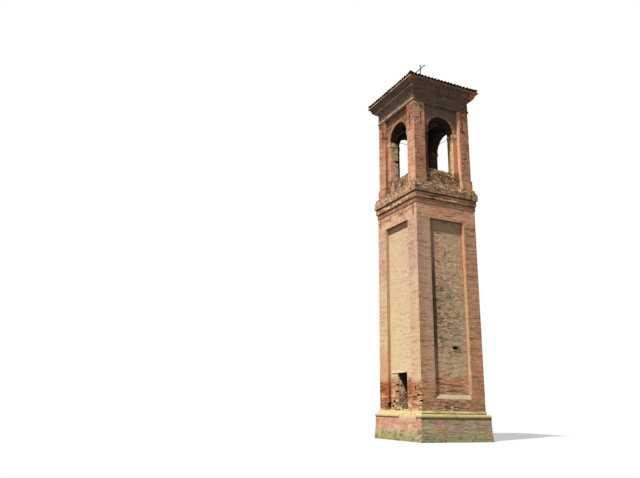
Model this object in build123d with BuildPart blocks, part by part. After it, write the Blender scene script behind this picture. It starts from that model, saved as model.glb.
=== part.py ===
"""Ruined brick bell tower: plinth, panelled shaft, stepped cornice, open belfry and hipped roof.

The tower stands on z = 0 with its axis on z. The front is the -y side and the doorway is in
the left side, -x. Every side repeats one scheme: two corner piers, and a panel set back
between them.
"""
import math
import os

from build123d import *

os.makedirs("parts", exist_ok=True)

# Driving dimensions in millimetres, from the ground up

# Plinth and base moulding
PLINTH_HEIGHT = 1190
PLINTH_PROJECTION = 200
PLINTH_BATTER = 60
PLINTH_BATTER_HEIGHT = 900
ROLL_PROJECTION = 225
ROLL_HEIGHT = 210
ROLL_BEVEL = 35
MOULDING_GROOVE_HEIGHT = 45
MOULDING_GROOVE_PROJECTION = 20
MOULDING_FILLET_HEIGHT = 130
MOULDING_FILLET_PROJECTION = 45
BROKEN_ROLL_LENGTH = 1600
BROKEN_ROLL_OFFSET = 1020
PLASTER_RUN = 200
PLASTER_THICKNESS = 15

# Shaft
SHAFT_WIDTH = 4200
SHAFT_PIER_WIDTH = 900
PANEL_RECESS = 200
PANEL_FOOT_HEIGHT = 875
PANEL_LEDGE_RISE = 230
PANEL_HEIGHT = 9850
PANEL_HEAD_HEIGHT = 863

# Doorway in the left side, with a heap of rubble in it, and the vent slot in the front
DOOR_WIDTH = 960
DOOR_HEIGHT = 2042
HEAP_SETBACK = 20
HEAP_LIP_HEIGHT = 400
HEAP_RISE_LENGTH = 330
HEAP_HEIGHT = 900
HEAP_LENGTH = 1300
SLOT_WIDTH = 340
SLOT_HEIGHT = 160
SLOT_OFFSET = 380
SLOT_SILL_HEIGHT = 4890
SLOT_HOOD_WIDTH = 490
SLOT_HOOD_EDGE = 50
SLOT_HOOD_RISE = 230
SLOT_HOOD_PROJECTION = 110

# Bricks lost round the doorway and from an arch jamb: the middle of each hole, then its size
LOST_BRICKS = (
    ((-1900, 560, 2965), (240, 240, 125)),
    ((-1900, 590, 2615), (240, 300, 120)),
    ((-1650, 480, 2910), (150, 240, 120)),
    ((-1500, 480, 2560), (130, 200, 100)),
    ((-1730, 480, 2390), (150, 200, 90)),
    ((-1900, 900, 2060), (240, 260, 120)),
    ((-1900, 1030, 1800), (240, 240, 125)),
    ((-1900, 640, 1930), (240, 270, 125)),
    ((-1900, -660, 2205), (240, 480, 60)),
    ((-1900, -520, 2790), (240, 160, 60)),
    ((-2100, -1535, 2730), (240, 170, 190)),
    ((-2100, -1690, 2505), (240, 140, 60)),
    ((-2100, -1810, 2370), (240, 270, 125)),
    ((-2100, -1390, 2145), (200, 460, 60)),
    ((-2100, -2060, 2080), (270, 270, 90)),
    ((-2060, -2100, 2370), (260, 200, 60)),
    ((-1800, -2100, 3045), (280, 160, 60)),
    ((-2010, 1200, 1860), (220, 260, 255)),
    ((-1410, 950, 16860), (220, 240, 170)),
)

# Stepped cornice between the shaft and the belfry
LOWER_COURSE_HEIGHT = 292
LOWER_COURSE_PROJECTION = 34
MIDDLE_COURSE_HEIGHT = 361
MIDDLE_COURSE_PROJECTION = 99
CORNICE_SLAB_HEIGHT = 340
CORNICE_SLAB_PROJECTION = 170
COURSE_QUIRK_HEIGHT = 50
WEATHERING_HEIGHT = 344
WEATHERING_TOP_PROJECTION = 30
BELFRY_FLOOR_SETBACK = 70

# Belfry
BELFRY_SETBACK = 76
BELFRY_PIER_WIDTH = 744
BELFRY_HEIGHT = 5190
PIER_BASE_HEIGHT = 610
PIER_BASE_PROJECTION = 52
ARCH_RECESS = 200
ARCH_JAMB_WIDTH = 330
ARCH_COVER = 620
ARCHIVOLT_WIDTH = 150
IMPOST_HEIGHT = 240
IMPOST_PROJECTION = 40
PARAPET_HEIGHT = 1000
PARAPET_THICKNESS = 300
BROKEN_PARAPET_HEIGHT = 820
WORN_PARAPET_FACE_HEIGHT = 700
WORN_PARAPET_BACK_HEIGHT = 1120
WORN_PARAPET_CREST = 60

# Iron ties: rods through the belfry walls, and flat anchor bars on the faces
ROD_DIAMETER = 30
ROD_CLEARANCE = 2
ROD_RISE_ALONG_X = 470
ROD_RISE_ALONG_Y = 350
ANCHOR_LENGTH = 860
ANCHOR_RISE = 150
ANCHOR_WIDTH = 50
ANCHOR_THICKNESS = 25
SHAFT_ANCHOR_INSET = 300
SHAFT_ANCHOR_DROP = 330
SHAFT_ANCHOR_LENGTH = 640
SLAB_ANCHOR_LENGTH = 820

# Top cornice
ASTRAGAL_HEIGHT = 200
ASTRAGAL_PROJECTION = 55
FRIEZE_HEIGHT = 490
FRIEZE_PROJECTION = 12
COVE_HEIGHT = 220
COVE_PROJECTION = 213
COVE_DEPTH = 28
CYMA_HEIGHT = 430
CYMA_PROJECTION = 516
CYMA_CURVE = 36
CYMA_LIP = 45

# Roof
ROOF_PITCH = 19
ROOF_DECK_THICKNESS = 45
ROOF_TILE_OVERHANG = 60
TILE_BED_THICKNESS = 68
COVER_TILE_PITCH = 240
COVER_TILE_RADIUS = 96
HIP_TILE_RADIUS = 115
HIP_TILE_RISE = 32
HIP_TILE_SETBACK = 160
TILE_SIDES = 10
HIP_RAFTER_WIDTH = 120
HIP_RAFTER_DEPTH = 180

# Iron cross on its stone base
CROSS_BASE_DIAMETER = 260
CROSS_BASE_HEIGHT = 280
CROSS_BASE_RISE = 120
CROSS_BAR = 45
CROSS_HEIGHT = 1560
CROSS_ARM_SPAN = 1040
CROSS_ARM_DROP = 310

# Worked out from the driving dimensions
SHAFT_HALF = SHAFT_WIDTH / 2
PANEL_WIDTH = SHAFT_WIDTH - 2 * SHAFT_PIER_WIDTH
PANEL_FACE = SHAFT_HALF - PANEL_RECESS
PANEL_THICKNESS = SHAFT_PIER_WIDTH - PANEL_RECESS
WELL_WIDTH = PANEL_WIDTH

MOULDING_HEIGHT = ROLL_HEIGHT + MOULDING_GROOVE_HEIGHT + MOULDING_FILLET_HEIGHT
FLOOR_LEVEL = PLINTH_HEIGHT + MOULDING_HEIGHT
PANEL_FOOT_TOP = FLOOR_LEVEL + PANEL_FOOT_HEIGHT
PANEL_HEAD = PANEL_FOOT_TOP + PANEL_HEIGHT
SHAFT_TOP = PANEL_HEAD + PANEL_HEAD_HEIGHT
DOOR_HEAD = FLOOR_LEVEL + DOOR_HEIGHT
MIDDLE_COURSE_LEVEL = SHAFT_TOP + LOWER_COURSE_HEIGHT
CORNICE_SLAB_LEVEL = MIDDLE_COURSE_LEVEL + MIDDLE_COURSE_HEIGHT
WEATHERING_LEVEL = CORNICE_SLAB_LEVEL + CORNICE_SLAB_HEIGHT
BELFRY_FLOOR_LEVEL = WEATHERING_LEVEL + WEATHERING_HEIGHT

BELFRY_WIDTH = SHAFT_WIDTH - 2 * BELFRY_SETBACK
BELFRY_HALF = BELFRY_WIDTH / 2
BELFRY_FLOOR_HALF = SHAFT_HALF - BELFRY_FLOOR_SETBACK
BELFRY_BAY = BELFRY_WIDTH - 2 * BELFRY_PIER_WIDTH
BELFRY_TOP = BELFRY_FLOOR_LEVEL + BELFRY_HEIGHT
ARCH_FACE = BELFRY_HALF - ARCH_RECESS
ARCH_THICKNESS = BELFRY_PIER_WIDTH - ARCH_RECESS
PIER_BASE_TOP = BELFRY_FLOOR_LEVEL + PIER_BASE_HEIGHT
ARCH_WIDTH = BELFRY_BAY - 2 * ARCH_JAMB_WIDTH
ARCH_SPRINGING = BELFRY_TOP - ARCH_COVER - ARCH_WIDTH / 2
IMPOST_LEVEL = ARCH_SPRINGING - IMPOST_HEIGHT
ROD_LINE = ARCH_FACE - ARCH_THICKNESS / 2
ROD_LEVEL_ALONG_X = ARCH_SPRINGING + ROD_RISE_ALONG_X
ROD_LEVEL_ALONG_Y = ARCH_SPRINGING + ROD_RISE_ALONG_Y

FRIEZE_LEVEL = BELFRY_TOP + ASTRAGAL_HEIGHT
COVE_LEVEL = FRIEZE_LEVEL + FRIEZE_HEIGHT
CYMA_LEVEL = COVE_LEVEL + COVE_HEIGHT
CORNICE_TOP = CYMA_LEVEL + CYMA_HEIGHT
CORNICE_HALF = BELFRY_HALF + CYMA_PROJECTION
ROOF_HALF = CORNICE_HALF + ROOF_TILE_OVERHANG
ROOF_SLOPE = math.tan(math.radians(ROOF_PITCH))
ROOF_TILE_THICKNESS = TILE_BED_THICKNESS + COVER_TILE_RADIUS / math.cos(math.radians(ROOF_PITCH))
DECK_APEX = CORNICE_TOP + CORNICE_HALF * ROOF_SLOPE
TILE_APEX = DECK_APEX + ROOF_DECK_THICKNESS + ROOF_TILE_THICKNESS

# Which way each side looks, as an angle from +x, and where each corner stands
SIDES = {"front": -90, "right": 0, "back": 90, "left": 180}
CORNERS = {"front_left": (-1, -1), "front_right": (1, -1), "back_right": (1, 1), "back_left": (-1, 1)}


def elevation(side, distance):
    """Plane facing out of a side: x along the wall, y up, at this distance from the axis."""
    outward = Vector(1, 0, 0).rotate(Axis.Z, SIDES[side])
    along = Vector(0, 1, 0).rotate(Axis.Z, SIDES[side])
    return Plane(origin=outward * distance, x_dir=along, z_dir=outward)


def section(side):
    """Plane that cuts through a side at its middle: x outwards, y up."""
    outward = Vector(1, 0, 0).rotate(Axis.Z, SIDES[side])
    along = Vector(0, 1, 0).rotate(Axis.Z, SIDES[side])
    return Plane(origin=(0, 0, 0), x_dir=outward, z_dir=-along)


def export(piece, node):
    """Label a finished piece and write it under its node's name."""
    piece.part.label = node
    export_step(piece.part, f"parts/{node}.step")


def square_ring(outer, inner, bottom, height):
    """Square ring of masonry with plumb faces."""
    with BuildPart() as ring:
        with BuildSketch(Plane.XY.offset(bottom)):
            Rectangle(outer, outer)
            Rectangle(inner, inner, mode=Mode.SUBTRACT)
        extrude(amount=height)
    return ring


def moulded_ring(inner_half, outer_half, bottom, height, outline):
    """Square ring whose outer face is a moulding, mitred at the four corners.

    outline draws the moulded edge upwards, in a section of the right side, and gives back
    the points where it starts and ends.
    """
    with BuildPart() as side:
        with BuildSketch(section("right")):
            with BuildLine():
                start, end = outline()
                Polyline(end, (inner_half, bottom + height), (inner_half, bottom), start)
            make_face()
        extrude(amount=outer_half, both=True)
        with BuildSketch(Plane.XY.offset(bottom)):
            Polygon((0, 0), (outer_half, -outer_half), (outer_half, outer_half), align=None)
        extrude(amount=height, mode=Mode.INTERSECT)
    with BuildPart() as ring:
        with PolarLocations(0, 4):
            add(side.part)
    return ring


def hipped_block(half, bottom, eave, apex):
    """Solid under four equal slopes: two gabled prisms, crossed."""
    with BuildPart() as block:
        for plane, mode in ((Plane.XZ, Mode.ADD), (Plane.YZ, Mode.INTERSECT)):
            with BuildSketch(plane):
                Polygon(
                    (-half, bottom), (half, bottom), (half, eave), (0, apex), (-half, eave), align=None
                )
            extrude(amount=half, both=True, mode=mode)
    return block


def plinth_edge():
    """A batter at the foot, and a plumb face over it."""
    face = SHAFT_HALF + PLINTH_PROJECTION
    start = (face + PLINTH_BATTER, 0)
    end = (face, PLINTH_HEIGHT)
    Polyline(start, (face, PLINTH_BATTER_HEIGHT), end)
    return start, end


def cut_lost_bricks():
    """Cut the holes of the lost bricks out of the part that is being built."""
    for middle, size in LOST_BRICKS:
        with Locations(middle):
            Box(*size, mode=Mode.SUBTRACT)


# Plinth: a ring of masonry round the fill
plinth_foot_half = SHAFT_HALF + PLINTH_PROJECTION + PLINTH_BATTER
plinth = moulded_ring(WELL_WIDTH / 2, plinth_foot_half, 0, PLINTH_HEIGHT, plinth_edge)
export(plinth, "plinth")

# Fill of the plinth, whose top is the floor behind the doorway, and the heap of rubble on it
heap_face = PANEL_FACE - HEAP_SETBACK
with BuildPart() as floor_fill:
    with BuildSketch():
        Rectangle(WELL_WIDTH, WELL_WIDTH)
    extrude(amount=FLOOR_LEVEL)
    with BuildSketch(section("left")):
        Polygon(
            (heap_face, FLOOR_LEVEL),
            (heap_face, FLOOR_LEVEL + HEAP_LIP_HEIGHT),
            (heap_face - HEAP_RISE_LENGTH, FLOOR_LEVEL + HEAP_HEIGHT),
            (heap_face - HEAP_LENGTH, FLOOR_LEVEL),
            align=None,
        )
    extrude(amount=DOOR_WIDTH / 2, both=True)
export(floor_fill, "floor_fill")


def base_moulding_edge():
    """A thick roll below, a groove, and a plain fillet on top."""
    roll = SHAFT_HALF + ROLL_PROJECTION
    groove = SHAFT_HALF + MOULDING_GROOVE_PROJECTION
    fillet_face = SHAFT_HALF + MOULDING_FILLET_PROJECTION
    roll_top = PLINTH_HEIGHT + ROLL_HEIGHT
    roll_start = (roll - ROLL_BEVEL, PLINTH_HEIGHT)
    roll_end = (fillet_face, roll_top)
    fillet_end = (fillet_face, FLOOR_LEVEL)
    ThreePointArc(roll_start, (roll, PLINTH_HEIGHT + ROLL_HEIGHT / 3), roll_end)
    Polyline(
        roll_end,
        (groove, roll_top),
        (groove, roll_top + MOULDING_GROOVE_HEIGHT),
        (fillet_face, roll_top + MOULDING_GROOVE_HEIGHT),
        fillet_end,
    )
    return roll_start, fillet_end


# The roll has broken away from the left side, near the front corner
whole_moulding = moulded_ring(
    WELL_WIDTH / 2, SHAFT_HALF + ROLL_PROJECTION, PLINTH_HEIGHT, MOULDING_HEIGHT, base_moulding_edge
)
with BuildPart() as base_moulding:
    add(whole_moulding.part)
    with BuildSketch(elevation("left", SHAFT_HALF + MOULDING_GROOVE_PROJECTION)):
        with Locations((BROKEN_ROLL_OFFSET, PLINTH_HEIGHT + ROLL_HEIGHT / 2)):
            Rectangle(BROKEN_ROLL_LENGTH, ROLL_HEIGHT)
    extrude(amount=ROLL_PROJECTION, mode=Mode.SUBTRACT)
export(base_moulding, "base_moulding")

# Old plaster that slopes over the groove and the fillet on the left side, and fills the broken roll
slope_foot = PLINTH_HEIGHT + ROLL_HEIGHT / 2
slope_face = SHAFT_HALF + ROLL_PROJECTION
corner_reach = SHAFT_HALF + ROLL_PROJECTION
with BuildPart() as plaster_slope:
    with BuildSketch(section("left")):
        Polygon(
            (SHAFT_HALF, slope_foot),
            (slope_face - ROLL_BEVEL, slope_foot),
            (SHAFT_HALF + MOULDING_FILLET_PROJECTION, FLOOR_LEVEL),
            (SHAFT_HALF, FLOOR_LEVEL),
            align=None,
        )
    extrude(amount=corner_reach, both=True)
    with BuildSketch(Plane.XY.offset(PLINTH_HEIGHT)):
        Polygon((0, 0), (-corner_reach, corner_reach), (-corner_reach, -corner_reach), align=None)
    extrude(amount=MOULDING_HEIGHT, mode=Mode.INTERSECT)
    with BuildSketch(section("left").offset(-BROKEN_ROLL_OFFSET)):
        Polygon(
            (SHAFT_HALF, PLINTH_HEIGHT),
            (SHAFT_HALF + PLINTH_PROJECTION, PLINTH_HEIGHT),
            (SHAFT_HALF + PLINTH_PROJECTION, PLINTH_HEIGHT - PLASTER_RUN),
            (SHAFT_HALF + PLINTH_PROJECTION + PLASTER_THICKNESS, PLINTH_HEIGHT - PLASTER_RUN),
            (slope_face - ROLL_BEVEL / 2, PLINTH_HEIGHT),
            (slope_face - ROLL_BEVEL, slope_foot),
            (SHAFT_HALF, slope_foot),
            align=None,
        )
    extrude(amount=BROKEN_ROLL_LENGTH / 2, both=True)
    add(base_moulding.part, mode=Mode.SUBTRACT)
export(plaster_slope, "plaster_slope")

# Corner piers of the shaft, plain from the moulding to the cornice
pier_centre = SHAFT_HALF - SHAFT_PIER_WIDTH / 2
for corner, (across, along) in CORNERS.items():
    with BuildPart() as shaft_pier:
        with BuildSketch(Plane.XY.offset(FLOOR_LEVEL)):
            with Locations((across * pier_centre, along * pier_centre)):
                Rectangle(SHAFT_PIER_WIDTH, SHAFT_PIER_WIDTH)
        extrude(amount=SHAFT_TOP - FLOOR_LEVEL)
        cut_lost_bricks()
    export(shaft_pier, f"shaft_pier_{corner}")

# Wall under each panel, flush with the piers, with a sloping ledge on top; the side with the
# doorway has none
with BuildPart() as panel_foot_walls:
    for side in ("front", "right", "back"):
        with BuildSketch(section(side)):
            Polygon(
                (WELL_WIDTH / 2, FLOOR_LEVEL),
                (SHAFT_HALF, FLOOR_LEVEL),
                (SHAFT_HALF, PANEL_FOOT_TOP - PANEL_LEDGE_RISE),
                (PANEL_FACE, PANEL_FOOT_TOP),
                (WELL_WIDTH / 2, PANEL_FOOT_TOP),
                align=None,
            )
        extrude(amount=PANEL_WIDTH / 2, both=True)
export(panel_foot_walls, "panel_foot_walls")

# Recessed panel walls; the front one is pierced by the vent slot
for side in ("front", "right", "back"):
    with BuildPart() as panel_wall:
        with BuildSketch(elevation(side, PANEL_FACE)):
            with Locations((0, PANEL_FOOT_TOP + PANEL_HEIGHT / 2)):
                Rectangle(PANEL_WIDTH, PANEL_HEIGHT)
            if side == "front":
                with Locations((SLOT_OFFSET, SLOT_SILL_HEIGHT + SLOT_HEIGHT / 2)):
                    Rectangle(SLOT_WIDTH, SLOT_HEIGHT, mode=Mode.SUBTRACT)
        extrude(amount=-PANEL_THICKNESS)
    export(panel_wall, f"{side}_panel")

# The left panel is split over and beside the doorway
with BuildPart() as left_panel_over_door:
    with BuildSketch(elevation("left", PANEL_FACE)):
        with Locations((0, (DOOR_HEAD + PANEL_HEAD) / 2)):
            Rectangle(PANEL_WIDTH, PANEL_HEAD - DOOR_HEAD)
    extrude(amount=-PANEL_THICKNESS)
export(left_panel_over_door, "left_panel_over_door")

door_jamb_width = (PANEL_WIDTH - DOOR_WIDTH) / 2
with BuildPart() as left_panel_jambs:
    with BuildSketch(elevation("left", PANEL_FACE)):
        with Locations((0, (FLOOR_LEVEL + DOOR_HEAD) / 2)):
            with GridLocations(DOOR_WIDTH + door_jamb_width, 0, 2, 1):
                Rectangle(door_jamb_width, DOOR_HEAD - FLOOR_LEVEL)
    extrude(amount=-PANEL_THICKNESS)
    cut_lost_bricks()
export(left_panel_jambs, "left_panel_jambs")

# Wall over each panel, flush with the piers again
with BuildPart() as panel_head_walls:
    for side in SIDES:
        with BuildSketch(elevation(side, SHAFT_HALF)):
            with Locations((0, PANEL_HEAD + PANEL_HEAD_HEIGHT / 2)):
                Rectangle(PANEL_WIDTH, PANEL_HEAD_HEIGHT)
        extrude(amount=-SHAFT_PIER_WIDTH)
export(panel_head_walls, "panel_head_walls")

# Small hood that sheds rain over the vent slot: a thin front edge, and a top that slopes to the wall
hood_underside = SLOT_SILL_HEIGHT + SLOT_HEIGHT
hood_edge = PANEL_FACE + SLOT_HOOD_PROJECTION
with BuildPart() as vent_hood:
    with BuildSketch(section("front").offset(-SLOT_OFFSET)):
        Polygon(
            (PANEL_FACE, hood_underside),
            (hood_edge, hood_underside),
            (hood_edge, hood_underside + SLOT_HOOD_EDGE),
            (PANEL_FACE, hood_underside + SLOT_HOOD_RISE),
            align=None,
        )
    extrude(amount=SLOT_HOOD_WIDTH / 2, both=True)
export(vent_hood, "vent_hood")

# Two brick courses that step out, each with a quirk over it, and the slab that they carry
for node, level, height, projection in (
    ("cornice_lower_course", SHAFT_TOP, LOWER_COURSE_HEIGHT, LOWER_COURSE_PROJECTION),
    ("cornice_middle_course", MIDDLE_COURSE_LEVEL, MIDDLE_COURSE_HEIGHT, MIDDLE_COURSE_PROJECTION),
):
    with BuildPart() as course:
        with BuildSketch(Plane.XY.offset(level)):
            Rectangle(SHAFT_WIDTH + 2 * projection, SHAFT_WIDTH + 2 * projection)
        extrude(amount=height - COURSE_QUIRK_HEIGHT)
        with BuildSketch(Plane.XY.offset(level)):
            Rectangle(SHAFT_WIDTH, SHAFT_WIDTH)
        extrude(amount=height)
        with BuildSketch(Plane.XY.offset(level)):
            Rectangle(WELL_WIDTH, WELL_WIDTH)
        extrude(amount=height, mode=Mode.SUBTRACT)
    export(course, node)

cornice_slab = square_ring(
    SHAFT_WIDTH + 2 * CORNICE_SLAB_PROJECTION, WELL_WIDTH, CORNICE_SLAB_LEVEL, CORNICE_SLAB_HEIGHT
)
export(cornice_slab, "cornice_slab")


def weathering_edge():
    """A slope that sheds water from the belfry's foot to the edge of the slab."""
    start = (SHAFT_HALF + CORNICE_SLAB_PROJECTION, WEATHERING_LEVEL)
    end = (SHAFT_HALF + WEATHERING_TOP_PROJECTION, BELFRY_FLOOR_LEVEL)
    Line(start, end)
    return start, end


cornice_weathering = moulded_ring(
    BELFRY_FLOOR_HALF,
    SHAFT_HALF + CORNICE_SLAB_PROJECTION,
    WEATHERING_LEVEL,
    WEATHERING_HEIGHT,
    weathering_edge,
)
export(cornice_weathering, "cornice_weathering")

# Floor of the belfry, carried by the walls of the shaft
with BuildPart() as belfry_floor:
    with BuildSketch(Plane.XY.offset(WEATHERING_LEVEL)):
        Rectangle(2 * BELFRY_FLOOR_HALF, 2 * BELFRY_FLOOR_HALF)
    extrude(amount=WEATHERING_HEIGHT)
export(belfry_floor, "belfry_floor")

# Corner piers of the belfry, each on a base block, with the holes that the tie rods run in
belfry_pier_centre = BELFRY_HALF - BELFRY_PIER_WIDTH / 2
rod_hole_radius = ROD_DIAMETER / 2 + ROD_CLEARANCE
for corner, (across, along) in CORNERS.items():
    with BuildPart() as belfry_pier:
        with BuildSketch(Plane.XY.offset(PIER_BASE_TOP)):
            with Locations((across * belfry_pier_centre, along * belfry_pier_centre)):
                Rectangle(BELFRY_PIER_WIDTH, BELFRY_PIER_WIDTH)
        extrude(amount=BELFRY_TOP - PIER_BASE_TOP)
        with BuildSketch(Plane.YZ):
            with Locations((along * ROD_LINE, ROD_LEVEL_ALONG_X)):
                Circle(rod_hole_radius)
        extrude(amount=BELFRY_HALF, both=True, mode=Mode.SUBTRACT)
        with BuildSketch(Plane.XZ):
            with Locations((across * ROD_LINE, ROD_LEVEL_ALONG_Y)):
                Circle(rod_hole_radius)
        extrude(amount=BELFRY_HALF, both=True, mode=Mode.SUBTRACT)
    export(belfry_pier, f"belfry_pier_{corner}")

base_width = BELFRY_PIER_WIDTH + PIER_BASE_PROJECTION
base_centre = BELFRY_HALF + PIER_BASE_PROJECTION - base_width / 2
with BuildPart() as belfry_pier_bases:
    with BuildSketch(Plane.XY.offset(BELFRY_FLOOR_LEVEL)):
        with GridLocations(2 * base_centre, 2 * base_centre, 2, 2):
            Rectangle(base_width, base_width)
    extrude(amount=PIER_BASE_HEIGHT)
export(belfry_pier_bases, "belfry_pier_bases")

# Jambs, imposts, arch and parapet between the piers
jamb_centre = (ARCH_WIDTH + ARCH_JAMB_WIDTH) / 2
with BuildPart() as arch_jambs:
    for side in SIDES:
        with BuildSketch(elevation(side, ARCH_FACE)):
            with Locations((0, (BELFRY_FLOOR_LEVEL + IMPOST_LEVEL) / 2)):
                with GridLocations(2 * jamb_centre, 0, 2, 1):
                    Rectangle(ARCH_JAMB_WIDTH, IMPOST_LEVEL - BELFRY_FLOOR_LEVEL)
        extrude(amount=-ARCH_THICKNESS)
    cut_lost_bricks()
export(arch_jambs, "arch_jambs")

impost_width = ARCH_JAMB_WIDTH + IMPOST_PROJECTION
impost_centre = (ARCH_WIDTH + ARCH_JAMB_WIDTH - IMPOST_PROJECTION) / 2
with BuildPart() as arch_imposts:
    for side in SIDES:
        with BuildSketch(elevation(side, ARCH_FACE + IMPOST_PROJECTION)):
            with Locations((0, (IMPOST_LEVEL + ARCH_SPRINGING) / 2)):
                with GridLocations(2 * impost_centre, 0, 2, 1):
                    Rectangle(impost_width, IMPOST_HEIGHT)
        extrude(amount=-ARCH_THICKNESS - IMPOST_PROJECTION)
export(arch_imposts, "arch_imposts")

# Level of the rod in each side's wall, and of the anchor bars that end the rods of its neighbours
ROD_LEVELS = dict(zip(SIDES, (ROD_LEVEL_ALONG_X, ROD_LEVEL_ALONG_Y) * 2))
ANCHOR_LEVELS = dict(zip(SIDES, (ROD_LEVEL_ALONG_Y, ROD_LEVEL_ALONG_X) * 2))
for side in SIDES:
    with BuildPart() as arch_wall:
        with BuildSketch(elevation(side, ARCH_FACE)):
            with Locations((0, (ARCH_SPRINGING + BELFRY_TOP) / 2)):
                Rectangle(BELFRY_BAY, BELFRY_TOP - ARCH_SPRINGING)
        extrude(amount=-ARCH_THICKNESS)
        with BuildSketch(elevation(side, ARCH_FACE)):
            with Locations((0, ARCH_SPRINGING)):
                Circle(ARCH_WIDTH / 2 + ARCHIVOLT_WIDTH)
            with Locations((0, ARCH_SPRINGING - ARCH_WIDTH)):
                Rectangle(2 * ARCH_WIDTH, 2 * ARCH_WIDTH, mode=Mode.SUBTRACT)
        extrude(amount=IMPOST_PROJECTION)
        with BuildSketch(elevation(side, ARCH_FACE + IMPOST_PROJECTION)):
            with Locations((0, ARCH_SPRINGING)):
                Circle(ARCH_WIDTH / 2)
        extrude(amount=-IMPOST_PROJECTION - ARCH_THICKNESS, mode=Mode.SUBTRACT)
        with BuildSketch(section(side)):
            with Locations((ROD_LINE, ROD_LEVELS[side])):
                Circle(rod_hole_radius)
        extrude(amount=BELFRY_BAY / 2, both=True, mode=Mode.SUBTRACT)
    export(arch_wall, f"arch_{side}")

# Parapets; the left one is broken lower at its near end, and the front one is worn to a slope
parapet_top = BELFRY_FLOOR_LEVEL + PARAPET_HEIGHT
with BuildPart() as parapets:
    for side in ("right", "back", "left"):
        broken_top = BELFRY_FLOOR_LEVEL + (BROKEN_PARAPET_HEIGHT if side == "left" else PARAPET_HEIGHT)
        with BuildSketch(elevation(side, ARCH_FACE)):
            Polygon(
                (-ARCH_WIDTH / 2, BELFRY_FLOOR_LEVEL),
                (ARCH_WIDTH / 2, BELFRY_FLOOR_LEVEL),
                (ARCH_WIDTH / 2, broken_top),
                (0, broken_top),
                (-ARCH_WIDTH / 4, parapet_top),
                (-ARCH_WIDTH / 2, parapet_top),
                align=None,
            )
        extrude(amount=-PARAPET_THICKNESS)
    with BuildSketch(section("front")):
        Polygon(
            (ARCH_FACE - PARAPET_THICKNESS, BELFRY_FLOOR_LEVEL),
            (ARCH_FACE, BELFRY_FLOOR_LEVEL),
            (ARCH_FACE, BELFRY_FLOOR_LEVEL + WORN_PARAPET_FACE_HEIGHT),
            (
                ARCH_FACE - PARAPET_THICKNESS + WORN_PARAPET_CREST,
                BELFRY_FLOOR_LEVEL + WORN_PARAPET_BACK_HEIGHT,
            ),
            (ARCH_FACE - PARAPET_THICKNESS, BELFRY_FLOOR_LEVEL + WORN_PARAPET_BACK_HEIGHT),
            align=None,
        )
    extrude(amount=ARCH_WIDTH / 2, both=True)
export(parapets, "parapets")

# Tie rods through the arches and the piers
with BuildPart() as tie_rods:
    for side in SIDES:
        with BuildSketch(section(side)):
            with Locations((ROD_LINE, ROD_LEVELS[side])):
                Circle(ROD_DIAMETER / 2)
        extrude(amount=BELFRY_HALF, both=True)
export(tie_rods, "tie_rods")

# Flat anchor bars: on the belfry piers at the ends of the rods, high on the shaft's piers, and
# one that hangs over the slab and the courses at the front
shaft_anchor_offset = SHAFT_HALF - SHAFT_ANCHOR_INSET
with BuildPart() as anchor_bars:
    for side in SIDES:
        with BuildSketch(elevation(side, BELFRY_HALF)):
            with Locations((0, ANCHOR_LEVELS[side] + ANCHOR_RISE)):
                with GridLocations(2 * ROD_LINE, 0, 2, 1):
                    Rectangle(ANCHOR_WIDTH, ANCHOR_LENGTH)
        extrude(amount=ANCHOR_THICKNESS)
    for side in ("left", "right"):
        with BuildSketch(elevation(side, SHAFT_HALF)):
            with Locations((0, SHAFT_TOP - SHAFT_ANCHOR_DROP)):
                with GridLocations(2 * shaft_anchor_offset, 0, 2, 1):
                    Rectangle(ANCHOR_WIDTH, SHAFT_ANCHOR_LENGTH)
        extrude(amount=ANCHOR_THICKNESS)
    with BuildSketch(elevation("front", SHAFT_HALF + CORNICE_SLAB_PROJECTION)):
        with Locations((shaft_anchor_offset, WEATHERING_LEVEL - SLAB_ANCHOR_LENGTH / 2)):
            Rectangle(ANCHOR_WIDTH, SLAB_ANCHOR_LENGTH)
    extrude(amount=ANCHOR_THICKNESS)
export(anchor_bars, "anchor_bars")


def astragal_edge():
    """A half-round bead."""
    start = (BELFRY_HALF, BELFRY_TOP)
    end = (BELFRY_HALF, FRIEZE_LEVEL)
    ThreePointArc(start, (BELFRY_HALF + ASTRAGAL_PROJECTION, BELFRY_TOP + ASTRAGAL_HEIGHT / 2), end)
    return start, end


# Astragal and frieze over the arches
astragal = moulded_ring(
    BELFRY_BAY / 2, BELFRY_HALF + ASTRAGAL_PROJECTION, BELFRY_TOP, ASTRAGAL_HEIGHT, astragal_edge
)
export(astragal, "astragal")

frieze = square_ring(BELFRY_WIDTH + 2 * FRIEZE_PROJECTION, BELFRY_BAY, FRIEZE_LEVEL, FRIEZE_HEIGHT)
export(frieze, "frieze")


def cove_edge():
    """A hollow that sweeps out from the frieze."""
    start = (BELFRY_HALF + FRIEZE_PROJECTION, COVE_LEVEL)
    end = (BELFRY_HALF + COVE_PROJECTION, CYMA_LEVEL)
    SagittaArc(start, end, COVE_DEPTH)
    return start, end


cornice_cove = moulded_ring(
    BELFRY_BAY / 2, BELFRY_HALF + COVE_PROJECTION, COVE_LEVEL, COVE_HEIGHT, cove_edge
)
export(cornice_cove, "cornice_cove")


def cyma_edge():
    """A double curve, full below and hollow above, under a square lip."""
    start = (BELFRY_HALF + COVE_PROJECTION, CYMA_LEVEL)
    end = (CORNICE_HALF, CORNICE_TOP - CYMA_LIP)
    middle = ((start[0] + end[0]) / 2, (start[1] + end[1]) / 2)
    top = (CORNICE_HALF, CORNICE_TOP)
    SagittaArc(start, middle, -CYMA_CURVE)
    SagittaArc(middle, end, CYMA_CURVE)
    Line(end, top)
    return start, top


cornice_cyma = moulded_ring(BELFRY_BAY / 2, CORNICE_HALF, CYMA_LEVEL, CYMA_HEIGHT, cyma_edge)
export(cornice_cyma, "cornice_cyma")

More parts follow.
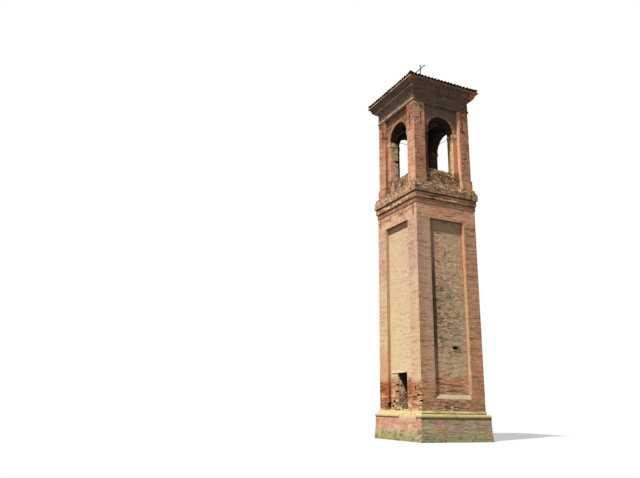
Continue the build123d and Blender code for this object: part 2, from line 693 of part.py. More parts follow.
# Roof: a wedge of masonry on the cornice, the boarded deck on it, and the tiles on the deck
slopes_under_deck = hipped_block(CORNICE_HALF, CORNICE_TOP, CORNICE_TOP, DECK_APEX)
with BuildPart() as roof_seat:
    add(slopes_under_deck.part)
    with BuildSketch(Plane.XY.offset(CORNICE_TOP)):
        Rectangle(BELFRY_BAY, BELFRY_BAY)
    extrude(amount=DECK_APEX, mode=Mode.SUBTRACT)
export(roof_seat, "roof_seat")

slopes_over_deck = hipped_block(
    CORNICE_HALF, CORNICE_TOP, CORNICE_TOP + ROOF_DECK_THICKNESS, DECK_APEX + ROOF_DECK_THICKNESS
)
with BuildPart() as roof_deck:
    add(slopes_over_deck.part)
    add(slopes_under_deck.part, mode=Mode.SUBTRACT)
export(roof_deck, "roof_deck")

# Tiles: a bed of channel tiles, half-round cover tiles in rows up each slope, and a row on each hip
tile_eave = CORNICE_TOP + ROOF_DECK_THICKNESS - ROOF_TILE_OVERHANG * ROOF_SLOPE
bed_eave = tile_eave + TILE_BED_THICKNESS
bed_apex = DECK_APEX + ROOF_DECK_THICKNESS + TILE_BED_THICKNESS
tile_underside = hipped_block(ROOF_HALF, CORNICE_TOP, tile_eave, DECK_APEX + ROOF_DECK_THICKNESS)
tile_bed = hipped_block(ROOF_HALF, CORNICE_TOP, bed_eave, bed_apex)
tile_rows = 2 * math.floor(ROOF_HALF / COVER_TILE_PITCH) + 1
up_slope = Plane(origin=(ROOF_HALF, 0, bed_eave), x_dir=(0, 1, 0), z_dir=(-1, 0, ROOF_SLOPE))
with BuildPart() as cover_tiles:
    with BuildSketch(up_slope):
        with GridLocations(COVER_TILE_PITCH, COVER_TILE_PITCH, tile_rows, 1):
            RegularPolygon(COVER_TILE_RADIUS, TILE_SIDES)
    extrude(amount=ROOF_HALF * 2, both=True)
    with BuildSketch(Plane.XY.offset(CORNICE_TOP)):
        Polygon((0, 0), (ROOF_HALF, -ROOF_HALF), (ROOF_HALF, ROOF_HALF), align=None)
    extrude(amount=DECK_APEX, mode=Mode.INTERSECT)

hip_slope = ROOF_SLOPE / math.sqrt(2)
hip_run = ROOF_HALF * math.sqrt(2) - HIP_TILE_SETBACK
hip_foot = (hip_run, 0, bed_eave + HIP_TILE_SETBACK * hip_slope + HIP_TILE_RISE)
up_hip = Plane(origin=hip_foot, x_dir=(0, 1, 0), z_dir=(-1, 0, hip_slope))
with BuildPart() as hip_tiles:
    with BuildSketch(up_hip):
        RegularPolygon(HIP_TILE_RADIUS, TILE_SIDES)
    extrude(amount=math.hypot(hip_run, hip_run * hip_slope))

with BuildPart() as roof_tiles:
    add(tile_bed.part)
    with PolarLocations(0, 4):
        add(cover_tiles.part)
    with PolarLocations(0, 4, start_angle=45):
        add(hip_tiles.part)
    add(tile_underside.part, mode=Mode.SUBTRACT)
export(roof_tiles, "roof_tiles")

# Hip rafters: from the inner corners of the seat to the apex, close under the deck
rafter_drop = HIP_RAFTER_WIDTH / 2 / math.sqrt(2) * ROOF_SLOPE
rafter_foot = BELFRY_BAY / math.sqrt(2)
rafter_top = DECK_APEX - rafter_drop
rafter_foot_top = rafter_top - rafter_foot * hip_slope
with BuildPart() as hip_rafter_pair:
    with BuildSketch(Plane.XZ):
        Polygon(
            (-rafter_foot, rafter_foot_top),
            (0, rafter_top),
            (rafter_foot, rafter_foot_top),
            (rafter_foot, rafter_foot_top - HIP_RAFTER_DEPTH),
            (0, rafter_top - HIP_RAFTER_DEPTH),
            (-rafter_foot, rafter_foot_top - HIP_RAFTER_DEPTH),
            align=None,
        )
    extrude(amount=HIP_RAFTER_WIDTH / 2, both=True)
with BuildPart() as hip_rafters:
    with PolarLocations(0, 2, start_angle=45, angular_range=180):
        add(hip_rafter_pair.part)
    with BuildSketch(Plane.XY):
        Rectangle(BELFRY_BAY, BELFRY_BAY)
    extrude(amount=DECK_APEX, mode=Mode.INTERSECT)
export(hip_rafters, "hip_rafters")

# Stone base of the cross: a drum that sits over the apex of the tiles
with BuildPart() as cross_base:
    with BuildSketch(Plane.XY.offset(TILE_APEX + CROSS_BASE_RISE - CROSS_BASE_HEIGHT)):
        Circle(CROSS_BASE_DIAMETER / 2)
    extrude(amount=CROSS_BASE_HEIGHT)
    add(roof_tiles.part, mode=Mode.SUBTRACT)
export(cross_base, "cross_base")

# Iron cross: a square bar with one arm, which runs from front to back
cross_foot = TILE_APEX + CROSS_BASE_RISE
with BuildPart() as cross:
    with BuildSketch(Plane.XY.offset(cross_foot)):
        Rectangle(CROSS_BAR, CROSS_BAR)
    extrude(amount=CROSS_HEIGHT)
    with BuildSketch(Plane.YZ):
        with Locations((0, cross_foot + CROSS_HEIGHT - CROSS_ARM_DROP)):
            Rectangle(CROSS_ARM_SPAN, CROSS_BAR)
    extrude(amount=CROSS_BAR / 2, both=True)
export(cross, "cross")
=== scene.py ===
# %% [markdown]
# Shade inside the tower, under overhangs and in recesses is painted dark into the colours, and a few sunlit
# edges are painted pale.
# # Dressing a ruined brick bell tower
#
# The tower comes in as a measured frame: piers, panels, arches, mouldings and roof, each a plain
# solid at its real size. This lesson lays the bricks and tiles over those solids one by one, then
# gives every surface the weather that it has had: limewash, lichen, moss, soot and rust.
#
# The frame stays as it is. It is the mortar bed, and everything here is set on it.

# %% Load the frame
import math

import bpy
import numpy as np
from mathutils import Matrix, Vector, noise
from mathutils.bvhtree import BVHTree


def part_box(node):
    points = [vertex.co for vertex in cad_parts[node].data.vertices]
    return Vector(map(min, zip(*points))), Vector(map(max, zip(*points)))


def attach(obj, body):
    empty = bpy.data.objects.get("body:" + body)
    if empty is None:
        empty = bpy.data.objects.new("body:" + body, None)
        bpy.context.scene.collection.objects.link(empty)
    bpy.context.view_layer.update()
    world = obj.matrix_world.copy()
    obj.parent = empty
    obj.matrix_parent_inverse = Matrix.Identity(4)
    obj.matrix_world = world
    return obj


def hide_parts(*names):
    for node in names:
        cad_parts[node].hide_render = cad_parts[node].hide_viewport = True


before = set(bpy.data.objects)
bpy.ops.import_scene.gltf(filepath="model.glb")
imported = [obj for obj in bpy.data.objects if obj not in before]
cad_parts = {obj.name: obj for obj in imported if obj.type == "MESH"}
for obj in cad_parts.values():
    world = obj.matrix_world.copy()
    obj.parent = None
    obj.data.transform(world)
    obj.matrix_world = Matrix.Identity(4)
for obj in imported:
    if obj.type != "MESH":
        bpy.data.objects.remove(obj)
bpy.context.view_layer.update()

print(len(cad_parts), "nodes of the frame")

# %% [markdown]
# ## Sizes
#
# A dressing fits only if it takes its sizes from what it covers. Most of the values below are read
# from the boxes of the frame's nodes, so a change in the frame carries through. What a box can't
# say, such as the width of the doorway, is a named value in metres.

# %% Sizes of the shaft, the belfry and the cornices
pier_low, pier_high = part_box("shaft_pier_front_right")
SHAFT_HALF = pier_high[0]
PANEL_HALF = pier_low[0]
FLOOR_LEVEL = pier_low[2]
SHAFT_TOP = pier_high[2]
panel_low, panel_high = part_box("front_panel")
PANEL_FACE = -panel_low[1]
PANEL_FOOT = panel_low[2]
PANEL_HEAD = panel_high[2]
PANEL_LEDGE_RISE = 0.23
DOOR_HALF = 0.48
DOOR_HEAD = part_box("left_panel_jambs")[1][2]

belfry_low, belfry_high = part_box("belfry_pier_front_right")
BELFRY_HALF = belfry_high[0]
BELFRY_INNER = belfry_low[0]
BELFRY_TOP = belfry_high[2]
base_low, base_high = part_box("belfry_pier_bases")
BASE_HALF = base_high[0]
BELFRY_FLOOR = base_low[2]
BASE_TOP = base_high[2]
ARCH_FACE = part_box("arch_jambs")[1][0]
IMPOST_LOW, IMPOST_HIGH = (corner[2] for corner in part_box("arch_imposts"))
IMPOST_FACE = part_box("arch_imposts")[1][0]
ARCH_HALF = 0.95
ARCHIVOLT = 0.15
PARAPET_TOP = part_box("parapets")[1][2]
PARAPET_FACE_TOP = 15.20
PLINTH_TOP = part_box("plinth")[1][2]
COVE_FOOT, CYMA_FOOT = (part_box(node)[0][2] for node in ("cornice_cove", "cornice_cyma"))
print(f"shaft {2 * SHAFT_HALF:.2f} m wide, belfry {2 * BELFRY_HALF:.2f} m, arch crown at "
      f"{IMPOST_HIGH + ARCH_HALF:.2f} m")

# %% [markdown]
# ## Camera
#
# The photographer stood some 35 m off, with the eye 1.66 m over the ground, and looked up and a
# little across the near corner. A camera is turned by a rotation matrix made of three directions:
# right, up and back. Building those from the compass turn, the pitch and the slight roll is clearer
# than three Euler angles that have to be guessed together.

# %% Camera at the photographer's place
CAMERA_PLACE = Vector((-20.77, -28.98, 1.66))
CAMERA_TURN, CAMERA_PITCH, CAMERA_ROLL = (math.radians(angle) for angle in (25.14, 15.80, 1.00))


def add_object(name, data):
    """A new object in the scene, for a mesh, a lamp or a camera."""
    made = bpy.data.objects.new(name, data)
    bpy.context.scene.collection.objects.link(made)
    return made


ahead = Vector((
    math.sin(CAMERA_TURN) * math.cos(CAMERA_PITCH),
    math.cos(CAMERA_TURN) * math.cos(CAMERA_PITCH),
    math.sin(CAMERA_PITCH),
))
level_right = Vector((math.cos(CAMERA_TURN), -math.sin(CAMERA_TURN), 0))
level_up = level_right.cross(ahead)
right = level_right * math.cos(CAMERA_ROLL) + level_up * math.sin(CAMERA_ROLL)
up = right.cross(ahead)
camera_data = bpy.data.cameras.new("camera")
camera_data.lens = 33.46
camera_data.sensor_width = 36
camera_data.clip_end = 2000
camera = add_object("camera", camera_data)
camera.matrix_world = Matrix.Translation(CAMERA_PLACE) @ Matrix((right, up, -ahead)).transposed().to_4x4()
bpy.context.scene.camera = camera
print("camera looks along", tuple(round(value, 3) for value in ahead))

# %% [markdown]
# ## Light, world and floor
#
# A studio for a building is a bright even sky and one broad key light, high on the left. A Sun lamp
# lights the whole height alike, and its angle sets how soft the shadow edges are. The front is lit
# at a grazing angle, which stretches every soft edge to four times its width, so two degrees are
# enough there to take the hardness off.
#
# The background is white for the camera alone. The Light Path node tells who is looking: camera,
# glossy and transmission rays see white, and all others see the level that lights the tower.

# %% Key light
SKY_LEVEL = 0.34
KEY_STRENGTH = 4.9
KEY_FROM = Vector((-1.0, -0.5, 1.8))
key_data = bpy.data.lights.new("key", "SUN")
key_data.energy = KEY_STRENGTH
key_data.angle = math.radians(2)
add_object("key", key_data).rotation_euler = KEY_FROM.to_track_quat("Z", "Y").to_euler()


def seen_directly(tree):
    """1 for camera, glossy and transmission rays, and 0 for the rays that carry light."""
    path = tree.nodes.new("ShaderNodeLightPath")
    total = path.outputs["Is Camera Ray"]
    for ray in ("Is Glossy Ray", "Is Transmission Ray"):
        add = tree.nodes.new("ShaderNodeMath")
        add.operation = "ADD"
        add.use_clamp = True
        tree.links.new(total, add.inputs[0])
        tree.links.new(path.outputs[ray], add.inputs[1])
        total = add.outputs[0]
    return total


# %% World
world = bpy.data.worlds.new("studio")
world.use_nodes = True
bpy.context.scene.world = world
tree = world.node_tree
background = tree.nodes["Background"]
background.inputs["Color"].default_value = (1, 1, 1, 1)
level = tree.nodes.new("ShaderNodeMapRange")
level.inputs["To Min"].default_value = SKY_LEVEL
level.inputs["To Max"].default_value = 1.0
tree.links.new(seen_directly(tree), level.inputs["Value"])
tree.links.new(level.outputs[0], background.inputs["Strength"])
bpy.context.scene.view_settings.view_transform = "Standard"

# %% Floor
FLOOR_REACH = 600
FLOOR_SHOWN = (0.62, 0.62, 0.62, 1)
FLOOR_BOUNCE = (0.27, 0.25, 0.22, 1)
FLOOR_GLOW = 0.45
SQUARE = ((-1, -1), (1, -1), (1, 1), (-1, 1))
floor_mesh = bpy.data.meshes.new("floor")
floor_mesh.from_pydata([(x * FLOOR_REACH, y * FLOOR_REACH, 0) for x, y in SQUARE], [], [(0, 1, 2, 3)])
add_object("floor", floor_mesh)
floor_material = bpy.data.materials.new("studio_floor")
floor_material.use_nodes = True
tree = floor_material.node_tree
tree.nodes.clear()
matt, glow, albedo, share, blend, output = (tree.nodes.new(f"ShaderNode{kind}") for kind in (
    "BsdfDiffuse", "Emission", "Mix", "Math", "MixShader", "OutputMaterial"))
glow.inputs["Color"].default_value = (1, 1, 1, 1)
glow.inputs["Strength"].default_value = 1.0
albedo.data_type = "RGBA"
albedo.inputs[6].default_value = FLOOR_BOUNCE
albedo.inputs[7].default_value = FLOOR_SHOWN
share.operation = "MULTIPLY"
share.inputs[1].default_value = FLOOR_GLOW
seen = seen_directly(tree)
for source, socket in (
    (seen, albedo.inputs[0]), (albedo.outputs[2], matt.inputs["Color"]), (seen, share.inputs[0]),
    (share.outputs[0], blend.inputs[0]), (matt.outputs[0], blend.inputs[1]),
    (glow.outputs[0], blend.inputs[2]), (blend.outputs[0], output.inputs[0]),
):
    tree.links.new(source, socket)
floor_mesh.materials.append(floor_material)
print("studio: sky", SKY_LEVEL, "key", KEY_STRENGTH)

# %% [markdown]
# ## A way to describe a weathered surface
#
# Old masonry is layers: the clay itself, then limewash, then what grew or ran over it. A node tree
# can be read the same way, if each layer is one line that says a colour, how strongly it covers,
# and the masks that must all hold where it lies. The masks are what matter. They come from the
# place on the tower in metres, so patches run across joints and from brick to mortar as real stains
# do, and from the way the surface faces, because sun, rain and lichen choose their side.

# %% The finish builder
def linear(red, green, blue):
    """A colour as the eye names it, 0 to 255, turned into the linear light that shaders use."""
    steps = (value / 255 for value in (red, green, blue))
    return tuple(s / 12.92 if s <= 0.04045 else ((s + 0.055) / 1.055) ** 2.4 for s in steps) + (1,)


finishes = {}


class Finish:
    """One node material, built up in layers over a first colour.

    grains are the bumps of its surface, each a size and a depth in metres.
    """

    def __init__(self, name, colour, roughness, *grains):
        self.material = finishes[name] = bpy.data.materials.new(name)
        self.material.use_nodes = True
        self.tree = self.material.node_tree
        self.shader = self.tree.nodes["Principled BSDF"]
        self.shader.inputs["Roughness"].default_value = roughness
        self.shader.inputs["Specular IOR Level"].default_value = 0.15
        self.place = self.node("ShaderNodeTexCoord").outputs["Object"]
        self.normal = self.node("ShaderNodeNewGeometry").outputs["Normal"]
        self.colour = linear(*colour)
        self.grains = grains
        self.made = {}

    def node(self, kind, **settings):
        made = self.tree.nodes.new(kind)
        for setting, value in settings.items():
            setattr(made, setting, value)
        return made

    def put(self, value, socket):
        """Links a socket, or sets a plain number or colour."""
        if isinstance(value, bpy.types.NodeSocket):
            self.tree.links.new(value, socket)
        else:
            socket.default_value = value

    def spread(self, value, low, high):
        """0 where value is low or less, 1 where it is high or more."""
        ranged = self.node("ShaderNodeMapRange")
        self.put(value, ranged.inputs["Value"])
        ranged.inputs["From Min"].default_value = low
        ranged.inputs["From Max"].default_value = high
        return ranged.outputs[0]

    def sums(self, operation, first, second=0.0):
        made = self.node("ShaderNodeMath", operation=operation)
        self.put(first, made.inputs[0])
        self.put(second, made.inputs[1])
        return made.outputs[0]

    def product(self, first, *others):
        for other in others:
            first = self.sums("MULTIPLY", first, other)
        return first

    def axis(self, source, index):
        split = self.node("ShaderNodeSeparateXYZ")
        self.put(source, split.inputs[0])
        return split.outputs[index]

    def cloud(self, size, stretch=(1, 1, 1), shift=0.0):
        """Soft noise about 0.5, with lumps about this many metres across."""
        placed = self.node("ShaderNodeMapping")
        self.put(self.place, placed.inputs["Vector"])
        placed.inputs["Location"].default_value = (shift, shift * 1.7, shift * 0.6)
        placed.inputs["Scale"].default_value = tuple(1 / value for value in stretch)
        made = self.node("ShaderNodeTexNoise")
        made.inputs["Scale"].default_value = 0.5 / size
        made.inputs["Detail"].default_value = 4.0
        made.inputs["Roughness"].default_value = 0.6
        self.put(placed.outputs[0], made.inputs["Vector"])
        return made.outputs[0]

    def use(self, mask):
        """The socket of a mask. A mask that several layers share is made once."""
        if mask not in self.made:
            self.made[mask] = mask(self)
        return self.made[mask]

    def coats(self, *layers):
        """Lays colours over the layers so far: each with its strength, and the masks of its place."""
        for colour, strength, *where in layers:
            mixed = self.node("ShaderNodeMix", data_type="RGBA")
            self.put(self.product(*map(self.use, where), strength), mixed.inputs[0])
            self.put(self.colour, mixed.inputs[6])
            self.put(linear(*colour), mixed.inputs[7])
            self.colour = mixed.outputs[2]

    def shade(self, least, most, mask):
        """Darkens or lightens the layers so far, by a factor from least to most."""
        factor = self.node("ShaderNodeMapRange")
        self.put(self.use(mask), factor.inputs["Value"])
        factor.inputs["To Min"].default_value = least
        factor.inputs["To Max"].default_value = most
        scaled = self.node("ShaderNodeVectorMath", operation="SCALE")
        self.put(self.colour[:3] if isinstance(self.colour, tuple) else self.colour, scaled.inputs[0])
        self.put(factor.outputs[0], scaled.inputs["Scale"])
        self.colour = scaled.outputs[0]

    def done(self):
        self.put(self.colour, self.shader.inputs["Base Color"])
        height = 0.0
        for size, depth, *stretch in self.grains:
            height = self.sums("ADD", self.product(self.cloud(size, *stretch), depth), height)
        bump = self.node("ShaderNodeBump")
        bump.inputs["Distance"].default_value = 1.0
        self.put(height, bump.inputs["Height"])
        self.put(bump.outputs[0], self.shader.inputs["Normal"])


# %% [markdown]
# A mask is a small function that waits for a finish and then adds its nodes to it. So a mask can
# have a name before there is a finish, and several finishes and layers can share it.

# %% Masks
def both(*masks):
    """Where all of these masks hold."""
    return lambda finish: finish.product(*map(finish.use, masks))


def either(first, second):
    return lambda finish: finish.sums("MAXIMUM", finish.use(first), finish.use(second))


def but(mask):
    """The mask the other way round."""
    return lambda finish: finish.sums("SUBTRACT", 1.0, finish.use(mask))


def patches(size, cover, soft=0.06, stretch=(1, 1, 1), shift=0.0):
    """Ragged patches that cover about this share of the surface."""
    middle = 0.5 + (0.5 - cover) * 0.36
    return lambda finish: finish.spread(finish.cloud(size, stretch, shift), middle - soft, middle + soft)


def bands(size, cover, soft, shift):
    """Streaks along the courses, about this high and eight times as long."""
    return patches(1.4 * size, cover, soft, (3, 3, 0.35), shift)


def specks(size, cover, shift):
    """Small patches with a hard edge, wider than they are high, as where one brick has failed."""
    return patches(size, cover, 0.03, (1.6, 1.6, 0.8), shift)


def past(index, low, high):
    """Where the place along an axis has passed low, and fully so from high on, in metres."""
    return lambda finish: finish.spread(finish.axis(finish.place, index), low, high)


def within(index, low, high, soft=0.03):
    """Where the place along an axis lies between two values in metres."""
    reach = soft / 2
    return both(past(index, low - reach, low + reach), but(past(index, high - reach, high + reach)))


def core(reach, soft=0.03):
    """What lies within reach of the tower's axis, both ways."""
    return both(within(0, -reach, reach, soft), within(1, -reach, reach, soft))


def above(level, soft=0.3, ragged=0.0, size=0.5, rise=0.0):
    """What lies over a level. Its edge wanders by about ragged metres, and falls by rise for each
    metre along x."""
    def mask(finish):
        height = finish.axis(finish.place, 2)
        if ragged:
            wander = finish.product(finish.sums("SUBTRACT", finish.cloud(size), 0.5), 4 * ragged)
            height = finish.sums("ADD", height, wander)
        if rise:
            height = finish.sums("ADD", height, finish.product(finish.axis(finish.place, 0), rise))
        return finish.spread(height, level - soft / 2, level + soft / 2)
    return mask


def between(low, high, soft=0.3, ragged=0.0):
    return both(above(low, soft, ragged), but(above(high, soft, ragged)))


def upward(least=0.3, sign=1.0):
    """Where the surface looks up, or down if sign is -1, and not where it looks well aside."""
    return lambda finish: finish.spread(
        finish.product(finish.axis(finish.normal, 2), sign), least, least + 0.4
    )


def ends(index):
    """Where the surface looks either way along an axis."""
    return lambda finish: finish.spread(
        finish.sums("ABSOLUTE", finish.axis(finish.normal, index)), 0.5, 0.7
    )


def of_each(channel):
    """The number from 0 to 1 that each brick or tile was given when it was made."""
    return lambda finish: finish.axis(
        finish.node("ShaderNodeAttribute", attribute_name="tone").outputs["Vector"], channel
    )


def picked(share):
    """The bricks or tiles whose number is over this share."""
    return lambda finish: finish.spread(finish.use(PICK), share, share + 0.02)


SUNNY, DAMP = ends(0), ends(1)
DOWNWARD = upward(sign=-1.0)
PICK, LIGHTNESS = of_each(0), of_each(1)
print("finish builder and masks ready")

# %% [markdown]
# ## The clay and the mortar
#
# The bricks are soft orange-red clay, fired unevenly, so each one gets its own tone. The bed between
# them is lime mortar. Both then take the same weather, which is why the layers of a region are one
# function used for both: a stain doesn't stop at a joint. Such a function yields its layers from
# the first to the last, each a colour, a strength and the masks that must all hold.
#
# The sunny sides (left and right) keep a pale bloom of old limewash. The other two are damp and
# grey-brown, with lichen. Near the ground the salts have eaten the wash away and left raw red clay.

# %% Clay, mortar and what they share
CLAY = (200, 126, 90)
CLAY_TONES = ((210, 140, 102), (186, 110, 78), (204, 132, 98), (168, 104, 80), (218, 158, 120))
MORTAR = (205, 184, 150)
# Painted shade: the near black for shade inside the tower, in the arches and under overhangs.
PAINTED_SHADE = (44, 38, 32)
# Painted shade: dark brown on the bed deep behind the brick faces, for broken clay and for the shade in the
# holes of lost bricks.
HOLE_SHADE = (84, 58, 42)
FAR = 3  # outside the tower on every side, for a stretch that has no end


def clay(name):
    """Bare bricks: each one takes a tone, and each is a little lighter or darker than the next."""
    finish = Finish(name, CLAY, 0.92, (0.02, 0.004), (0.09, 0.006))
    for number, tone in enumerate(CLAY_TONES):
        finish.coats((tone, 1, picked(number / len(CLAY_TONES) - 0.01)))
    finish.shade(0.76, 1.18, LIGHTNESS)
    return finish


def mortar(name):
    """The lime bed that shows in the joints."""
    finish = Finish(name, MORTAR, 0.95, (0.015, 0.004), (0.06, 0.006))
    finish.shade(0.75, 1.1, lambda finish: finish.cloud(0.06))
    return finish


def masonry(region, weather, bed=(), inside=()):
    """Bricks and bed of a region under the same weather. The layers in bed lie on the bed alone, and those
    in inside, the painted shade of the tower's inside, on both.
    """
    for kind, start in (("bricks", clay), ("bed", mortar)):
        finish = start(f"{region}_{kind}")
        finish.coats(*weather(), *(bed if start is mortar else ()), *inside)
        finish.done()

# %% Weather on the piers
# Levels: the limewash starts at the first, is creamy up to the second, and the foot of the sunny
# sides is pale with salt up to the third.
WASH_FOOT = 3.15
CREAM_TOP = 9.1
PALE_FOOT_TOP = 2.15
# Painted shade: the faces inside the shaft are painted near black.
SHADE_INSIDE = ((PAINTED_SHADE, 0.93, core(SHAFT_HALF - 0.86)),)


def pier_weather():
    """Limewash and grime on the corner piers and the wall over and under the panels, and a painted highlight
    on one edge beside the front panel.
    """
    raised = above(WASH_FOOT, 0.3, 0.2, 0.25)
    creamy = both(SUNNY, between(WASH_FOOT + 0.05, CREAM_TOP, 0.5, 0.25))
    yield (238, 214, 194), 0.85, SUNNY, raised, patches(0.5, 0.8, 0.3)
    yield (234, 208, 164), 0.9, creamy, patches(0.5, 0.92, 0.3, shift=7)
    corner = both(creamy, within(1, -FAR, -1.95, 0.1))
    yield (224, 178, 146), 0.55, corner, patches(0.3, 0.7, 0.2, shift=9)
    yield (206, 136, 104), 0.5, SUNNY, raised, bands(0.16, 0.24, 0.06, 3)
    yield (176, 128, 96), 0.5, SUNNY, raised, bands(0.12, 0.2, 0.04, 13)
    salmon = both(SUNNY, above(CREAM_TOP - 0.1, 0.4, 0.3))
    yield (214, 156, 126), 0.5, salmon, patches(0.2, 0.34, 0.08, shift=33)
    yield (240, 214, 188), 0.6, salmon, patches(0.12, 0.24, 0.05, shift=35)
    yield (178, 150, 118), 0.68, DAMP, patches(0.5, 0.8, 0.3, shift=5)
    near = both(DAMP, within(0, -FAR, -1.1))
    yield (180, 156, 128), 0.5, near, patches(0.4, 0.7, 0.2, shift=25)
    rosy = both(near, above(7.6, 1.6, 0.5))
    yield (178, 150, 130), 0.6, rosy, patches(0.6, 0.8, 0.3)
    yield (190, 128, 112), 0.6, rosy, patches(0.2, 0.25, 0.08, shift=15)
    yield (200, 176, 146), 0.5, near, within(0, -1.62, -1.1, 0.35)
    yield (118, 98, 74), 0.6, DAMP, bands(0.14, 0.26, 0.05, 9)
    yield (222, 172, 138), 0.6, DAMP, bands(0.1, 0.24, 0.04, 19)
    yield (84, 62, 48), 0.7, DAMP, but(rosy), bands(0.1, 0.2, 0.03, 29)
    head = both(DAMP, above(PANEL_HEAD, 0.05))
    yield (212, 168, 136), 0.75, head, patches(0.5, 0.8, 0.2, shift=22)
    yield (210, 132, 106), 0.65, head, patches(0.25, 0.4, 0.08, (1.5, 1.5, 0.7), 21)
    yield (88, 62, 48), 0.75, head, bands(0.1, 0.26, 0.03, 23)
    yield (236, 204, 176), 0.7, head, specks(0.1, 0.16, 27)
    lintel = both(SUNNY, between(PANEL_HEAD, PANEL_HEAD + 0.55, 0.1, 0.05))
    yield (250, 200, 154), 0.8, lintel, patches(0.3, 0.5, 0.12, shift=31)
    top = both(SUNNY, above(PANEL_HEAD + 0.4, 0.2))
    yield (180, 104, 64), 0.8, top, bands(0.12, 0.4, 0.05, 37)
    yield (104, 62, 40), 0.85, top, specks(0.1, 0.2, 39)
    over_foot = both(SUNNY, within(1, 1.1, FAR), between(3.0, 5.0, 0.6, 0.2))
    yield (212, 160, 116), 0.65, over_foot
    low = but(raised)
    far = both(SUNNY, low, within(1, 1.1, FAR))
    yield (188, 112, 70), 0.8, SUNNY, low, patches(0.3, 0.7, 0.15, shift=2)
    yield (168, 86, 54), 0.85, far, patches(0.4, 0.9, 0.2, shift=42)
    light = both(SUNNY, low, within(1, -FAR, 0))
    yield (214, 152, 100), 0.8, light, bands(0.12, 0.34, 0.04, 44)
    yield (240, 200, 152), 0.8, light, specks(0.1, 0.2, 45)
    yield (240, 190, 140), 0.8, SUNNY, low, bands(0.12, 0.24, 0.04, 8)
    yield (78, 44, 28), 0.88, SUNNY, low, bands(0.1, 0.32, 0.03, 4)
    pale_foot = both(light, but(above(PALE_FOOT_TOP, 0.2, 0.08)))
    pale_bricks = both(pale_foot, patches(0.1, 0.4, 0.04, (1.6, 1.6, 0.6), 51))
    yield (246, 206, 168), 0.8, pale_bricks
    yield (112, 64, 40), 0.8, light, bands(0.07, 0.3, 0.02, 54)
    yield (244, 204, 158), 0.75, light, bands(0.07, 0.26, 0.02, 56)
    yield (160, 108, 84), 0.6, DAMP, low, patches(0.5, 0.4, 0.15, shift=6)
    warm = both(DAMP, but(above(5.2, 1.5, 0.4)), above(2.2, 0.2))
    yield (226, 146, 98), 0.16, warm
    pitted = both(DAMP, within(0, -1.4, 1.0, 0.3), but(above(2.2, 0.1)))
    yield (56, 40, 30), 0.88, pitted, bands(0.06, 0.4, 0.02, 46)
    yield (226, 196, 158), 0.8, pitted, specks(0.07, 0.24, 48)
    yield (160, 150, 104), 0.6, upward(), patches(0.1, 0.6, 0.1)
    jamb = both(DAMP, core(SHAFT_HALF - 0.02), within(1, 1, FAR))
    yield (190, 156, 104), 0.85, jamb, above(3.0, 0.6, 0.3)
    yield (208, 178, 126), 0.85, jamb, above(5.8, 1.5, 0.3)
    yield (122, 58, 32), 0.85, jamb, but(above(WASH_FOOT, 0.8, 0.2))
    upper = above(8.6, 1.5, 0.5)
    bright = both(SUNNY, core(SHAFT_HALF - 0.02), within(0, 1, FAR), within(1, -FAR, -1))
    yield (228, 170, 128), 0.85, bright, upper
    yield (208, 174, 126), 0.85, bright, but(upper)
    # Painted highlight: a bright strip on the front face at the right edge of the front panel, beside its
    # sunlit jamb.
    arris = both(
        DAMP, within(0, PANEL_HALF - 0.03, PANEL_HALF + 0.05, 0.04),
        within(1, -FAR, -PANEL_FACE - 0.1), between(PANEL_FOOT + 0.05, PANEL_HEAD - 0.05, 0.1),
    )
    yield (246, 198, 150), 0.7, arris, patches(0.2, 0.7, 0.15, shift=53)


ledge = between(PANEL_FOOT - PANEL_LEDGE_RISE - 0.02, PANEL_FOOT + 0.02, 0.02)
washed = both(ledge, upward(0.1))
masonry("pier", pier_weather, inside=SHADE_INSIDE, bed=(
    (HOLE_SHADE, 0.9, core(SHAFT_HALF - 0.035)),
    ((166, 154, 124), 0.96, washed),
    ((186, 166, 132), 0.8, washed, specks(0.1, 0.3, 57)),
))
print("pier finishes ready")

